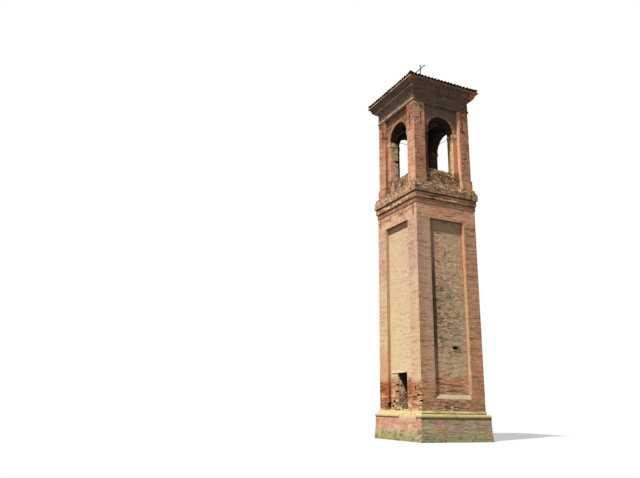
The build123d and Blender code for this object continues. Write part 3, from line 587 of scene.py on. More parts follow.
# %% Weather on the panels
def panel_weather():
    """A thick cream limewash on the sunny panels, a lichen crust on the damp ones, and painted shadows under
    the heads and beside a pier.
    """
    washed = above(WASH_FOOT - 0.05, 0.4, 0.25, 0.3)
    yield (226, 202, 160), 0.94, SUNNY, washed
    yield (232, 200, 158), 0.6, SUNNY, washed, patches(1.1, 0.4, 0.2)
    yield (214, 202, 162), 0.7, SUNNY, washed, patches(0.9, 0.3, 0.15, shift=4)
    high = above(7.6, 1.4, 0.4)
    yield (222, 190, 160), 0.7, SUNNY, high, patches(0.8, 0.5, 0.2, shift=24)
    upper = both(SUNNY, above(8.4, 1.6, 0.4), within(1, -1.3, -0.1, 0.6))
    yield (230, 198, 172), 0.7, upper, patches(0.5, 0.8, 0.2, shift=26)
    yield (200, 140, 112), 0.5, upper, patches(0.1, 0.32, 0.06, shift=6)
    yield (150, 112, 84), 0.6, upper, specks(0.06, 0.16, 28)
    yield (178, 154, 112), 0.5, SUNNY, washed, specks(0.07, 0.12, 8)
    yield (208, 176, 132), 0.5, SUNNY, washed, bands(0.14, 0.24, 0.05, 18)
    # Painted shadow: a dark band under the head of the sunny panels.
    yield (170, 134, 104), 0.75, SUNNY, above(11.93, 0.04)
    crust = both(DAMP, above(WASH_FOOT + 0.05, 0.3, 0.12))
    yield (190, 164, 136), 0.78, DAMP, patches(0.6, 0.7, 0.2)
    yield (190, 174, 142), 0.8, crust, patches(0.3, 0.5, 0.1, shift=2)
    yield (182, 138, 112), 0.7, crust, patches(0.4, 0.3, 0.1, shift=13)
    lichen = both(crust, patches(0.25, 0.2, 0.07, (1.5, 1.5, 0.8), 33))
    yield (166, 154, 108), 0.7, lichen
    dark = both(crust, between(4.9, 8.4, 1.2, 0.4))
    yield (140, 128, 100), 0.6, dark, patches(0.4, 0.5, 0.12, (1.4, 1.4, 0.8), 23)
    yield (76, 66, 48), 0.8, dark, specks(0.12, 0.42, 3)
    yield (84, 70, 50), 0.8, crust, specks(0.1, 0.24, 5)
    right_part = past(0, -0.5, PANEL_HALF)
    yield (194, 162, 128), 0.6, crust, right_part, high
    yield (202, 178, 144), 0.45, crust, right_part, but(high)
    # Painted shadow: a dark band under the head of the damp panels.
    yield (150, 130, 116), 0.6, DAMP, above(11.58, 0.04)
    yield (146, 116, 86), 0.6, crust, bands(0.12, 0.24, 0.05, 31)
    # The pale and red specks stop below the painted shadow under the head.
    below_head_shadow = both(crust, but(above(11.2, 0.3)))
    yield (226, 210, 186), 0.7, below_head_shadow, specks(0.09, 0.17, 11)
    yield (204, 144, 114), 0.6, below_head_shadow, specks(0.12, 0.16, 61)
    # Painted shadow: a dark strip that the pier at -x casts on the damp panels, darkest from 4.6 m to 9.6 m.
    corner = both(DAMP, within(0, -PANEL_HALF - 0.05, -PANEL_HALF + 0.38, 0.05))
    yield (128, 112, 102), 0.6, corner, above(2.6, 0.6)
    yield (60, 50, 42), 0.8, corner, between(4.6, 9.6, 1.5, 0.3)
    margin = both(DAMP, within(0, PANEL_HALF - 0.08, FAR))
    yield (176, 134, 98), 0.7, margin, above(3.0, 0.6)
    low = but(above(WASH_FOOT + 0.15, 0.25, 0.2))
    yield (182, 110, 74), 0.8, DAMP, low, patches(0.35, 0.7, 0.15, shift=17)
    yield (90, 60, 40), 0.85, DAMP, low, bands(0.09, 0.32, 0.02, 27)
    yield (226, 176, 132), 0.8, DAMP, low, bands(0.09, 0.28, 0.02, 29)
    yield (186, 108, 70), 0.8, SUNNY, low, patches(0.15, 0.7, 0.06, shift=2)
    by_the_door = both(SUNNY, low, within(1, -1.3, -0.45), above(2.3, 0.3, 0.1))
    yield (156, 72, 50), 0.9, by_the_door, patches(0.2, 0.85, 0.1, shift=15)
    yield (224, 164, 108), 0.8, SUNNY, low, bands(0.12, 0.3, 0.03, 12)
    yield (72, 44, 30), 0.88, SUNNY, low, bands(0.1, 0.32, 0.03, 32)
    past_the_door = both(SUNNY, low, within(1, 0.45, 1.3))
    yield (220, 190, 146), 0.8, past_the_door, patches(0.14, 0.4, 0.06, shift=14)
    yield (80, 50, 34), 0.85, SUNNY, low, specks(0.08, 0.22, 16)
    pale_foot = both(SUNNY, but(above(PALE_FOOT_TOP, 0.2, 0.1)), within(1, -1.3, -0.45))
    yield (236, 198, 158), 0.85, pale_foot, patches(0.1, 0.4, 0.04, shift=51)
    yield (96, 54, 36), 0.85, SUNNY, low, bands(0.07, 0.28, 0.02, 54)
    yield (242, 204, 156), 0.85, SUNNY, low, bands(0.07, 0.28, 0.02, 56)
    yield (214, 200, 160), 0.8, upward(), patches(0.2, 0.8, 0.2)


SUN_DROP = 1.8


def out_of_sun(soft):
    """What the head of the doorway shades: the shadow falls by SUN_DROP for each metre inwards."""
    return above(DOOR_HEAD - SUN_DROP * PANEL_FACE, soft, rise=SUN_DROP)


behind_panel = core(PANEL_FACE - 0.035)
# Painted shade on the bed behind the panel faces. In the sides of the doorway the bed is pale below the line
# of the head's shadow and painted dark above it.
masonry("panel", panel_weather, inside=SHADE_INSIDE, bed=(
    (HOLE_SHADE, 0.9, behind_panel),
    ((186, 156, 120), 0.85, behind_panel, within(1, -0.64, 0.64), but(out_of_sun(0.05))),
))
print("panel finishes ready")

# %% Weather on the plinth, the cornice and the belfry
# The band of the arches starts at this level. Over it the bloom is gone and more bricks are dark.
ARCH_BAND = 18.3


def plinth_weather():
    """Rosy wash on the sunny sides, grey-brown grime on the damp ones, green at the foot, and a painted
    shadow under the moulding on the damp sides.
    """
    yield (216, 168, 142), 0.75, SUNNY, patches(0.5, 0.8, 0.2)
    yield (232, 200, 164), 0.7, SUNNY, patches(0.3, 0.3, 0.1, shift=3)
    plaster = but(above(0.62, 0.3, 0.35, 0.4))
    yield (196, 180, 134), 0.85, SUNNY, plaster, patches(0.4, 0.8, 0.15, shift=13)
    yield (104, 96, 62), 0.8, SUNNY, plaster, patches(0.14, 0.4, 0.05, shift=17)
    yield (236, 214, 176), 0.8, SUNNY, plaster, patches(0.1, 0.2, 0.04, shift=19)
    yield (190, 124, 104), 0.5, SUNNY, bands(0.1, 0.25, 0.05, 23)
    yield (162, 162, 136), 0.85, DAMP, patches(0.6, 0.85, 0.2)
    yield (196, 120, 112), 0.65, DAMP, patches(0.25, 0.24, 0.07, shift=5)
    yield (172, 166, 120), 0.6, DAMP, bands(0.2, 0.3, 0.06, 2)
    yield (104, 94, 76), 0.65, DAMP, bands(0.08, 0.34, 0.04, 12)
    yield (206, 196, 170), 0.6, DAMP, bands(0.06, 0.2, 0.04, 32)
    # Painted shadow: a dark band at the top of the damp sides, under the roll of the moulding.
    yield (74, 66, 50), 0.8, DAMP, above(1.12, 0.05, 0.02)
    foot = but(above(0.4, 0.4, 0.15))
    yield (136, 148, 98), 0.75, foot, patches(0.3, 0.75, 0.2)
    yield (88, 84, 56), 0.75, foot, specks(0.1, 0.22, 52)


def cornice_weather():
    """Eroded brick with a dusty top, yellow and grey lichen towards the far right, and painted shade on the
    undersides.
    """
    slab = above(13.8)
    yield (222, 166, 130), 0.7, SUNNY, patches(0.3, 0.6, 0.2)
    yield (88, 52, 34), 0.85, SUNNY, bands(0.1, 0.3, 0.04, 11)
    yield (60, 38, 28), 0.85, SUNNY, specks(0.11, 0.26, 41)
    yield (255, 212, 172), 0.92, SUNNY, specks(0.11, 0.24, 43)
    lowest = but(above(13.42, 0.05))
    yield (120, 70, 44), 0.62, SUNNY, lowest
    yield (236, 188, 152), 0.6, slab, SUNNY, patches(0.3, 0.7, 0.2, shift=45)
    yield (176, 132, 106), 0.7, DAMP, patches(0.3, 0.7, 0.15)
    yield (66, 46, 36), 0.88, DAMP, bands(0.11, 0.3, 0.04, 3)
    yield (244, 194, 158), 0.8, DAMP, bands(0.1, 0.24, 0.04, 23)
    yield (116, 70, 48), 0.3, DAMP, lowest
    yield (160, 136, 106), 0.6, slab, patches(0.2, 0.6, 0.15, shift=16)
    yield (126, 92, 72), 0.7, slab, DAMP, patches(0.4, 0.7, 0.2, shift=18)
    yield (62, 46, 36), 0.8, slab, DAMP, specks(0.08, 0.28, 28)
    yield (232, 196, 160), 0.8, slab, DAMP, specks(0.11, 0.2, 38)
    yield (72, 50, 38), 0.85, slab, SUNNY, specks(0.11, 0.24, 30)
    top = upward()
    yield (170, 150, 116), 0.9, top, patches(0.25, 0.8, 0.2)
    yield (98, 88, 60), 0.8, top, specks(0.09, 0.35, 6)
    yield (210, 190, 158), 0.7, specks(0.07, 0.12, 9)
    far_right = both(within(0, 1.5, FAR), above(13.75))
    yield (176, 148, 62), 0.75, far_right, patches(0.12, 0.45, 0.05, shift=26)
    # Painted shade on every face that looks down.
    yield (70, 50, 38), 0.9, DOWNWARD


def belfry_weather():
    """Pale bloom and red clay on the piers, moss on top, painted shade inside, under the arches and the
    cornice and on shaded jambs, and painted light on lit jambs and edges.
    """
    pale = both(SUNNY, but(above(ARCH_BAND, 1.2, 0.3)))
    yield (214, 158, 124), 0.7, SUNNY, patches(0.35, 0.7, 0.25)
    yield (248, 198, 164), 0.85, pale, patches(0.4, 0.8, 0.2, shift=14)
    far = both(SUNNY, within(1, 1.1, FAR), patches(0.3, 0.8, 0.2, shift=44))
    yield (208, 150, 120), 0.7, far
    high = both(SUNNY, above(18.2, 0.8, 0.2), patches(0.25, 0.5, 0.1, shift=34))
    yield (158, 108, 80), 0.65, high
    yield (198, 112, 76), 0.65, SUNNY, bands(0.16, 0.3, 0.06, 3)
    yield (250, 212, 176), 0.7, SUNNY, specks(0.08, 0.16, 48)
    yield (168, 124, 98), 0.6, DAMP, patches(0.35, 0.6, 0.2)
    yield (128, 98, 78), 0.6, DAMP, patches(0.3, 0.25, 0.08, shift=4)
    near = both(DAMP, within(0, -FAR, 0), but(core(ARCH_FACE + 0.07)))
    grey = both(near, above(17.9, 1.0, 0.3))
    yield (212, 172, 144), 0.75, grey, patches(0.4, 0.75, 0.2, shift=36)
    yield (212, 150, 112), 0.55, DAMP, bands(0.12, 0.25, 0.05, 14)
    yield (92, 66, 50), 0.65, DAMP, bands(0.09, 0.2, 0.04, 24)
    yield (66, 44, 30), 0.78, specks(0.1, 0.16, 8)
    yield (62, 42, 32), 0.8, above(ARCH_BAND), specks(0.12, 0.22, 58)
    recessed_wall = core(ARCH_FACE + 0.07, 0.04)
    # Painted shadow of the cornice on the damp arch walls, over 18.9 m.
    yield (114, 100, 94), 0.85, recessed_wall, DAMP, above(18.9, 0.5, 0.1)
    yield (150, 108, 80), 0.6, recessed_wall, SUNNY, above(ARCH_BAND, 0.6, 0.1), patches(0.3, 0.6, 0.1)
    # Painted shade on the arch wall at the -x side of the damp arches.
    shaded = both(recessed_wall, DAMP, within(0, -BELFRY_INNER - 0.05, -0.9), but(above(ARCH_BAND)))
    yield (66, 50, 40), 0.88, shaded
    # Painted light on the arch wall at the +x side of the damp arches.
    lit = both(recessed_wall, DAMP, within(0, 0.9, BELFRY_INNER + 0.05), but(above(17.9, 0.6)))
    yield (226, 158, 116), 0.7, lit
    # Painted highlight on the sunlit reveal of the pier at the right of the front arch.
    bright = both(SUNNY, core(BELFRY_HALF - 0.02), within(0, 1.2, FAR), within(1, -FAR, -1.7))
    yield (255, 202, 160), 0.9, bright
    # Painted highlight on the front edge of the pier beside that reveal.
    arris = both(
        DAMP, within(0, BELFRY_INNER - 0.02, BELFRY_INNER + 0.08, 0.03),
        within(1, -FAR, -ARCH_FACE - 0.1),
    )
    yield (250, 190, 144), 0.8, arris
    low = both(recessed_wall, but(above(15.6, 0.3, 0.1)), patches(0.2, 0.8, 0.1))
    yield (102, 84, 62), 0.85, low
    yield (48, 40, 28), 0.85, low, specks(0.09, 0.34, 38)
    yield (226, 196, 150), 0.8, low, specks(0.08, 0.3, 28)
    moss = both(upward(0.2), patches(0.12, 0.7, 0.1))
    yield (108, 104, 50), 0.85, moss
    yield (52, 48, 28), 0.8, moss, specks(0.08, 0.25, 68)
    yield (150, 144, 76), 0.8, moss, patches(0.08, 0.35, 0.05, shift=18)
    # Painted shade on every face that looks down, under and inside the arches, on the far jambs and inside
    # the belfry.
    yield PAINTED_SHADE, 0.9, DOWNWARD
    under_arch = both(core(ARCH_FACE - 0.01), above(IMPOST_HIGH - 0.02, 0.05))
    yield PAINTED_SHADE, 0.93, under_arch
    for axis in (0, 1):
        far_side = both(within(axis, 1.0, ARCH_FACE - 0.02), within(1 - axis, -0.97, 0.97))
        yield PAINTED_SHADE, 0.92, far_side
    yield PAINTED_SHADE, 0.95, core(BELFRY_INNER + 0.02)


masonry("plinth", plinth_weather)
masonry("cornice", cornice_weather)
masonry("belfry", belfry_weather)
print("masonry finishes:", ", ".join(finishes))

# %% [markdown]
# ## Plaster, dark cornice, tiles, wood and iron
#
# The rest of the palette is smaller. The base moulding keeps its cream plaster with lines of yellow
# lichen, and painted shade in its groove and under its roll. The top cornice is nearly black with
# soot and algae, and its thin edges are pale, with a painted highlight on the sunny sides. The roof
# tiles are as dark, with a few orange ones. The ironwork is rust through and through, so its
# roughness is high and it has no metallic shine.

# %% Plaster
under_roll = but(above(1.25, 0.04, 0.01))
groove = either(between(1.38, 1.46, 0.03, 0.01), under_roll)
finish = Finish("moulding_plaster", (194, 177, 132), 0.88, (0.03, 0.004), (0.15, 0.012))
finish.coats(
    ((200, 174, 134), 0.7, patches(0.5, 0.45, 0.2)),
    ((176, 162, 108), 0.7, patches(0.14, 0.3, 0.06, shift=2)),
    ((178, 170, 114), 0.85, DAMP, patches(0.4, 0.85, 0.2, (3, 3, 0.3))),
    # Dark ochre in the groove and under the roll on the damp sides: lichen, and painted shade.
    ((120, 100, 44), 0.9, DAMP, groove),
    ((252, 230, 170), 0.85, DAMP, above(1.48, 0.03)),
    # Painted shadow under the roll on the sunny sides.
    ((96, 74, 42), 0.85, SUNNY, under_roll),
    ((140, 128, 70), 0.7, DAMP, patches(0.12, 0.3, 0.06, (4, 4, 0.4), 5)),
    ((150, 128, 92), 0.6, specks(0.05, 0.14, 7)),
)
finish.done()

finish = Finish("broken_plaster", (198, 179, 132), 0.9, (0.03, 0.006), (0.12, 0.02))
finish.coats(
    ((214, 192, 144), 0.8, patches(0.12, 0.4, 0.05)),
    ((188, 164, 116), 0.8, patches(0.1, 0.3, 0.05, shift=3)),
    ((214, 168, 140), 0.9, but(above(PLINTH_TOP, 0.04, 0.07, 0.12))),
    ((150, 118, 84), 0.7, specks(0.07, 0.18, 5)),
)
finish.done()

inner = both(SUNNY, within(0, 0.5, 1.0), within(1, -1.5, -1.0, 0.08))
finish = Finish("belfry_plaster", (250, 214, 164), 0.9, (0.03, 0.005), (0.12, 0.02))
finish.coats(
    ((228, 168, 124), 0.8, patches(0.25, 0.3, 0.1)),
    ((188, 156, 126), 0.85, DAMP, patches(0.25, 0.75, 0.2, shift=6)),
    ((104, 78, 56), 0.75, specks(0.08, 0.3, 4)),
    # Painted shade on the deeper part of the right reveal of the front arch.
    (PAINTED_SHADE, 0.85, inner),
)
finish.done()

far_sides = either(*(both(within(axis, 1.0, FAR), within(1 - axis, -0.97, 0.97)) for axis in (0, 1)))
shaded_end = both(within(0, -1.4, -0.7), within(1, -FAR, -1.2))
finish = Finish("impost_stone", (190, 150, 122), 0.9, (0.03, 0.005))
finish.coats(
    ((232, 208, 186), 0.8, patches(0.2, 0.4, 0.08)),
    ((108, 78, 58), 0.8, patches(0.1, 0.35, 0.05, shift=4)),
    # Painted shade on the far imposts, inside the belfry and on one shaded end.
    (PAINTED_SHADE, 0.9, far_sides, core(ARCH_FACE - 0.02)),
    (PAINTED_SHADE, 0.94, core(BELFRY_INNER + 0.02)),
    ((60, 46, 38), 0.85, shaded_end),
)
finish.done()

corner_ends = both(SUNNY, but(core(PANEL_FACE - 0.005, 0.004)))
finish = Finish("reveal_plaster", (252, 230, 196), 0.92, (0.04, 0.01))
finish.coats(
    ((208, 184, 146), 0.7, patches(0.2, 0.3, 0.1)),
    ((206, 172, 134), 0.7, but(above(2.5, 0.4, 0.15))),
    ((104, 82, 60), 0.75, specks(0.08, 0.22, 3)),
    # Painted shadow of the doorway's head on its far side.
    ((26, 24, 18), 0.95, out_of_sun(0.04)),
    ((190, 122, 82), 0.95, corner_ends),
    ((226, 200, 158), 0.95, corner_ends, above(3.0, 0.3)),
)
finish.done()

finish = Finish("fallen_plaster", (226, 206, 166), 0.93, (0.03, 0.008))
finish.coats(
    ((196, 152, 116), 1, picked(0.45)),
    ((150, 128, 96), 1, picked(0.75)),
)
finish.done()

finish = Finish("ledge_plaster", (244, 230, 198), 0.93, (0.03, 0.006))
finish.coats(((190, 166, 126), 0.8, patches(0.1, 0.4, 0.04)))
finish.done()
print("plaster finishes ready")

# %% Stone and rubble
finish = Finish("hood_stone", (146, 138, 110), 0.92, (0.03, 0.005))
finish.coats(
    ((124, 113, 86), 0.7, patches(0.06, 0.5, 0.05)),
    ((132, 130, 89), 0.7, upward(0.2), patches(0.08, 0.4, 0.05, shift=2)),
)
finish.done()

heap_foot = but(above(2.2, 0.2, 0.1))
heap_core = both(above(2.1, 0.15), within(1, -FAR, 0.2, 0.1))
finish = Finish("rubble", (122, 100, 76), 0.94, (0.02, 0.006))
finish.coats(
    ((96, 62, 44), 1, picked(0.35)),
    ((130, 58, 42), 1, picked(0.6)),
    ((184, 164, 128), 1, picked(0.86)),
)
finish.shade(0.6, 1.15, LIGHTNESS)
finish.coats(
    ((118, 112, 78), 0.5, but(above(2.1, 0.2, 0.1))),
    ((196, 178, 140), 0.7, heap_foot, specks(0.08, 0.3, 7)),
    ((84, 42, 32), 0.6, heap_core),
)
finish.done()

finish = Finish("earth", (120, 100, 78), 0.95, (0.04, 0.02))
finish.coats(
    ((96, 78, 60), 0.8, patches(0.15, 0.5, 0.1)),
    ((160, 140, 110), 0.6, specks(0.05, 0.2, 3)),
)
finish.done()
print("stone and rubble ready")

# %% Dark cornice
over_frieze = above(COVE_FOOT + 0.02, 0.06)
raw_ends = both(within(0, 2.0, FAR), within(1, -FAR, 0), above(CYMA_FOOT - 0.1))
near_corner = both(within(0, -FAR, -2.15), within(1, -FAR, -2.15))
finish = Finish("dark_cornice", (116, 100, 92), 0.93, (0.02, 0.005))
finish.shade(0.75, 1.2, LIGHTNESS)
finish.coats(
    ((92, 76, 66), 0.7, patches(0.4, 0.5, 0.15, (2, 2, 0.5))),
    ((82, 70, 64), 0.8, DAMP, above(COVE_FOOT + 0.04, 0.06)),
    ((152, 130, 116), 0.55, SUNNY, but(over_frieze)),
    ((78, 62, 52), 0.5, SUNNY, above(CYMA_FOOT, 0.06)),
    ((134, 98, 76), 0.55, patches(0.2, 0.3, 0.06, (3, 3, 0.4), 3)),
    ((150, 96, 62), 0.6, above(CYMA_FOOT), patches(0.3, 0.22, 0.05, (2, 2, 0.5), 15)),
    ((196, 124, 64), 0.7, raw_ends, patches(0.3, 0.6, 0.1, shift=7)),
    ((176, 116, 66), 0.7, near_corner, patches(0.15, 0.5, 0.08, shift=8)),
    ((160, 130, 100), 0.5, specks(0.06, 0.15, 5)),
    ((60, 48, 40), 0.7, specks(0.08, 0.2, 9)),
)
finish.done()

# Painted highlight: the pale edges are painted near white on the sunny sides and stay dark on the others.
finish = Finish("edge_highlight", (120, 92, 76), 0.9, (0.03, 0.004))
finish.coats(
    ((244, 208, 178), 0.9, SUNNY, patches(0.3, 0.85, 0.1)),
    ((96, 74, 60), 0.8, patches(0.12, 0.25, 0.05, (2, 2, 1), 4)),
)
finish.done()
print("cornice finishes ready")

# %% Roof tiles, timber and iron
finish = Finish("tiles", (70, 52, 42), 0.88, (0.02, 0.004))
finish.coats(
    ((52, 42, 36), 1, picked(0.3)),
    ((84, 58, 44), 1, picked(0.6)),
    ((150, 88, 54), 1, picked(0.92)),
)
finish.shade(0.8, 1.15, LIGHTNESS)
finish.coats(
    ((60, 54, 42), 0.7, patches(0.1, 0.3, 0.05)),
    ((170, 140, 60), 0.6, specks(0.05, 0.1, 5)),
)
finish.done()

finish = Finish("timber", (52, 42, 34), 0.85, (0.01, 0.004, (12, 1, 1)))
finish.coats(((36, 29, 24), 0.8, patches(0.05, 0.5, 0.1, (8, 8, 1))))
finish.done()

finish = Finish("iron", (70, 48, 38), 0.8, (0.006, 0.002))
finish.coats(
    ((112, 60, 34), 0.8, patches(0.05, 0.45, 0.08)),
    ((38, 30, 28), 0.8, specks(0.02, 0.2, 3)),
)
finish.done()
print(len(finishes), "finishes:", ", ".join(finishes))

# %% [markdown]
# ## A brick
#
# A brick here is a block with a bevelled, slightly crooked face: twelve corners and ten faces. The
# crooked face and the soft edge are what catches the light, and they can't be had from a texture on
# a flat wall. Twenty thousand of them would be slow as separate objects, so their corners are
# gathered as rows of numbers and turned into a few large meshes at the end.
#
# Each brick also carries three random numbers in an attribute called tone, which the clay finish
# reads. A Geometry Nodes instance per brick would do this too, but a plain array shows what happens.

# %% Blocks
BRICK_LENGTH = 0.27
BRICK_WIDTH = 0.13
COURSE = 0.065
JOINT = 0.011
PROUD = 0.012
BED_DEPTH = 0.02
BEVEL, BEVEL_WORN = 0.003, 0.012
CROOKED, CROOKED_WORN, MOST_CROOKED = 0.0008, 0.004, 0.006
BLOCK_FACES = np.array((
    (3, 2, 1, 0), (0, 1, 5, 4), (1, 2, 6, 5), (2, 3, 7, 6), (3, 0, 4, 7),
    (4, 5, 9, 8), (5, 6, 10, 9), (6, 7, 11, 10), (7, 4, 8, 11), (8, 9, 10, 11),
))


class Blocks:
    """Blocks that wait to become one mesh."""

    def __init__(self, seed):
        self.draw = np.random.default_rng(seed)
        self.frames = []
        self.sizes = []

    def add(self, origin, along, up, out, spans, depths, worn):
        """One block. spans are its ends along and up, and depths its back and its face."""
        self.frames.append((origin, along, up, out))
        self.sizes.append((*spans, *depths, worn))

    def wear(self, middle, spread):
        """A wear from 0 to 1 about a middle, drawn for one brick."""
        return min(max(middle + self.draw.normal(0, spread), 0), 1)

    def build(self, name, material, slot):
        frames = np.array(self.frames, dtype=float)
        left, right, bottom, top, back, face, worn = np.array(self.sizes).T
        count = len(left)
        edge = np.minimum(BEVEL + worn * BEVEL_WORN, 0.35 * np.minimum(right - left, top - bottom))
        corners = np.zeros((count, 12, 3))
        for ring, inset, depth in ((0, 0, back), (4, 0, face - edge), (8, edge, face)):
            for corner, (across, rise) in enumerate(((0, 0), (1, 0), (1, 1), (0, 1))):
                corners[:, ring + corner, 0] = np.where(across, right - inset, left + inset)
                corners[:, ring + corner, 1] = np.where(rise, top - inset, bottom + inset)
                corners[:, ring + corner, 2] = depth
        crooked = self.draw.normal(0, 1, (count, 8, 3)) * (CROOKED + worn * CROOKED_WORN)[:, None, None]
        corners[:, 4:] += np.clip(crooked, -MOST_CROOKED, MOST_CROOKED)
        points = frames[:, None, 0] + sum(corners[:, :, i, None] * frames[:, None, i + 1] for i in range(3))
        faces = BLOCK_FACES[None] + 12 * np.arange(count)[:, None, None]
        tones = np.repeat(self.draw.random((count, 3)), 12, axis=0)
        return make_piece(name, points.reshape(-1, 3), faces.reshape(-1, 4), material, tones)


# %% [markdown]
# ## From numbers to an object
#
# Every piece of the dressing ends here: a mesh from points and faces, a finish, the tone attribute,
# and a ride on the frame's only body, so that it moves with the tower.

# %% One piece
def make_piece(name, points, faces, material, tones):
    mesh = bpy.data.meshes.new(name)
    mesh.from_pydata([tuple(point) for point in points], [], [tuple(map(int, face)) for face in faces])
    mesh.materials.append(finishes[material])
    layer = mesh.attributes.new("tone", "FLOAT_VECTOR", "POINT")
    layer.data.foreach_set("vector", np.asarray(tones, dtype=np.float32).ravel())
    mesh.update()
    piece = add_object(name, mesh)
    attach(piece, "root")
    triangles = sum(len(face) - 2 for face in faces)
    print(f"{name}: {triangles} triangles")
    return piece


# %% [markdown]
# ## Laying courses
#
# Bricklayers work in courses that run level round the whole building, with long bricks and short
# ones in turn, and at each corner one wall's brick goes through while the other stops against it.
# The courses here are counted from the ground, so walls that meet always agree about whose turn it
# is: walls that look along x hold the corner in even courses, the others in odd ones.

# %% Directions and runs
SIDES = {"front": (0, -1), "right": (1, 0), "back": (0, 1), "left": (-1, 0)}
UP = (0, 0, 1)
THINNEST = 0.018
SHORTEST = 0.05
UNEVEN = 0.004


def turn(out):
    """The way a wall runs, to the right as seen from outside, if it looks this way."""
    return (-out[1], out[0])


def spot(out, distance, u, level):
    """The point this far out on a side, and u along it."""
    along = turn(out)
    return (out[0] * distance + along[0] * u, out[1] * distance + along[1] * u, level)


def sides(*seeds):
    """Each side in turn: its name, the way it looks, and empty Blocks for each of these seeds."""
    for number, (side, out) in enumerate(SIDES.items()):
        yield side, out, *(Blocks(seed + number) for seed in seeds)


def fill_run(draw, start, end, header_first):
    """The bricks from start to end of a course: long and short in turn, none of them a sliver."""
    spans, here, header = [], start, header_first
    while here < end - 1e-6:
        length = (BRICK_WIDTH if header else BRICK_LENGTH) + draw.normal(0, UNEVEN)
        stop = here + length
        if end - stop < SHORTEST + JOINT:
            stop = end
        spans.append((here, stop))
        here, header = stop + JOINT, not header
    return spans


def bricks_between(draw, start, end, at_start, at_end, holds):
    """The bricks of a stretch of a course, each as its ends and whether it goes through a corner.

    at_start and at_end say which ends of the stretch are corners, and holds whose turn it is there.
    """
    spans, last = [], []
    if at_start and holds:
        stop = min(start + BRICK_LENGTH, end)
        spans = [(start - PROUD, stop if end - stop > SHORTEST + JOINT else end, True)]
        start = spans[0][1] + JOINT
    elif at_start:
        start += BRICK_WIDTH + JOINT
    if at_end and end - start > SHORTEST:
        if holds:
            begin = max(end - BRICK_LENGTH, start)
            last = [(begin if begin - start > SHORTEST + JOINT else start, end + PROUD, True)]
            end = last[0][0] - JOINT
        else:
            end -= BRICK_WIDTH + JOINT
    if end - start > SHORTEST:
        header_first = holds if at_start else draw.random() < 0.5
        spans += [(a, b, False) for a, b in fill_run(draw, start, end, header_first)]
    return spans + last


def open_parts(left, right, gaps):
    """What is left of a course once the gaps are taken out of it."""
    parts = [(left, right)]
    for low, high in gaps:
        parts = [
            part
            for start, end in parts
            for part in ((start, min(end, low)), (max(start, high), end))
            if part[1] - part[0] > SHORTEST
        ]
    return parts


# %% [markdown]
# ## Where bricks are lost
#
# The frame has the holes of the lost bricks in it, and its broken edges. A course must stop at
# each of them. Instead of writing the holes down again, the script asks the frame: it sends a ray
# straight at the wall every few centimetres, and where the ray finds nothing at the right depth
# there is a hole. A BVH tree sorts the frame's faces so that a hundred thousand rays take a second.

# %% Rays at the frame
PROBE_STEP = 0.03
PROBE_START = 0.08
PROBE_DEPTH = 0.03
bpy.context.view_layer.update()
points, faces = [], []
for node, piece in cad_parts.items():
    if node in ("tie_rods", "anchor_bars", "vent_hood", "cross"):
        continue
    first = len(points)
    points += [piece.matrix_world @ vertex.co for vertex in piece.data.vertices]
    faces += [[first + index for index in polygon.vertices] for polygon in piece.data.polygons]
solids = BVHTree.FromPolygons(points, faces)
print("rays look for", len(faces), "faces of the frame")


def holes(out, distance, left, right, level):
    """The stretches of a course that have no wall behind them."""
    along = turn(out)
    inward = Vector((-out[0], -out[1], 0))
    found = []
    for number in range(int((right - left) / PROBE_STEP)):
        u = left + (number + 0.5) * PROBE_STEP
        start = Vector((along[0] * u, along[1] * u, level)) - inward * (distance + PROBE_START)
        if solids.ray_cast(start, inward, PROBE_START + PROBE_DEPTH)[0] is None:
            found.append((u - PROBE_STEP / 2, u + PROBE_STEP / 2))
    return found


def top_at(x, y, start):
    """The level of the first surface of the frame under a point."""
    return solids.ray_cast(Vector((x, y, start)), Vector((0, 0, -1)))[0].z


# %% Courses on a flat wall
USUAL_WEAR = 0.25
WORN_BACK = 0.75
UNEVEN_FACE = 0.0012
LEAST_PROUD = 0.002


def lay(blocks, out, distance, left, right, bottom, top, corners=(False, False), gaps=None,
        worn=None, lean=0.0):
    """Bricks over a flat stretch of wall.

    out is the way the wall looks and distance how far out it stands. left and right are its ends
    as seen from outside, and corners says which of them turn a corner of the masonry. gaps gives
    the openings at a level, besides the holes in the frame, worn how worn the wall is at a point,
    from 0 to 1, and lean how far the wall draws back for each metre of height.
    """
    along = (*turn(out), 0)
    outward = (*out, 0)
    holds_even = 0 if out[0] else 1
    for course in range(math.floor(bottom / COURSE), math.ceil(top / COURSE)):
        low = max(course * COURSE, bottom)
        high = min((course + 1) * COURSE - JOINT, top)
        if high - low < THINNEST:
            continue
        middle = (low + high) / 2
        plane = distance - lean * (middle - bottom)
        origin = (out[0] * plane, out[1] * plane, 0)
        holds = course % 2 == holds_even
        openings = list(gaps(middle)) if gaps else []
        openings += holes(out, plane, left, right, middle)
        for start, end in open_parts(left, right, openings):
            turns = corners[0] and start == left, corners[1] and end == right
            for a, b, through in bricks_between(blocks.draw, start, end, *turns, holds):
                wear = worn(*spot(out, plane, (a + b) / 2, middle)) if worn else USUAL_WEAR
                if wear is None:
                    continue
                wear = blocks.wear(wear, 0.12)
                face = PROUD * (1 - WORN_BACK * wear) + blocks.draw.normal(0, UNEVEN_FACE)
                back = -(BRICK_WIDTH if through else BED_DEPTH)
                depths = (back, max(face, LEAST_PROUD))
                blocks.add(origin, along, UP, outward, (a, b, low, high), depths, wear)


def return_wall(side, place):
    """The wall that turns inwards from a side at this place along it: its outward direction and
    its distance. One at the left end of a recess looks right, and one at the right end left."""
    along = turn(SIDES[side])
    sign = 1 if place < 0 else -1
    return tuple(sign * value for value in along), -abs(place)


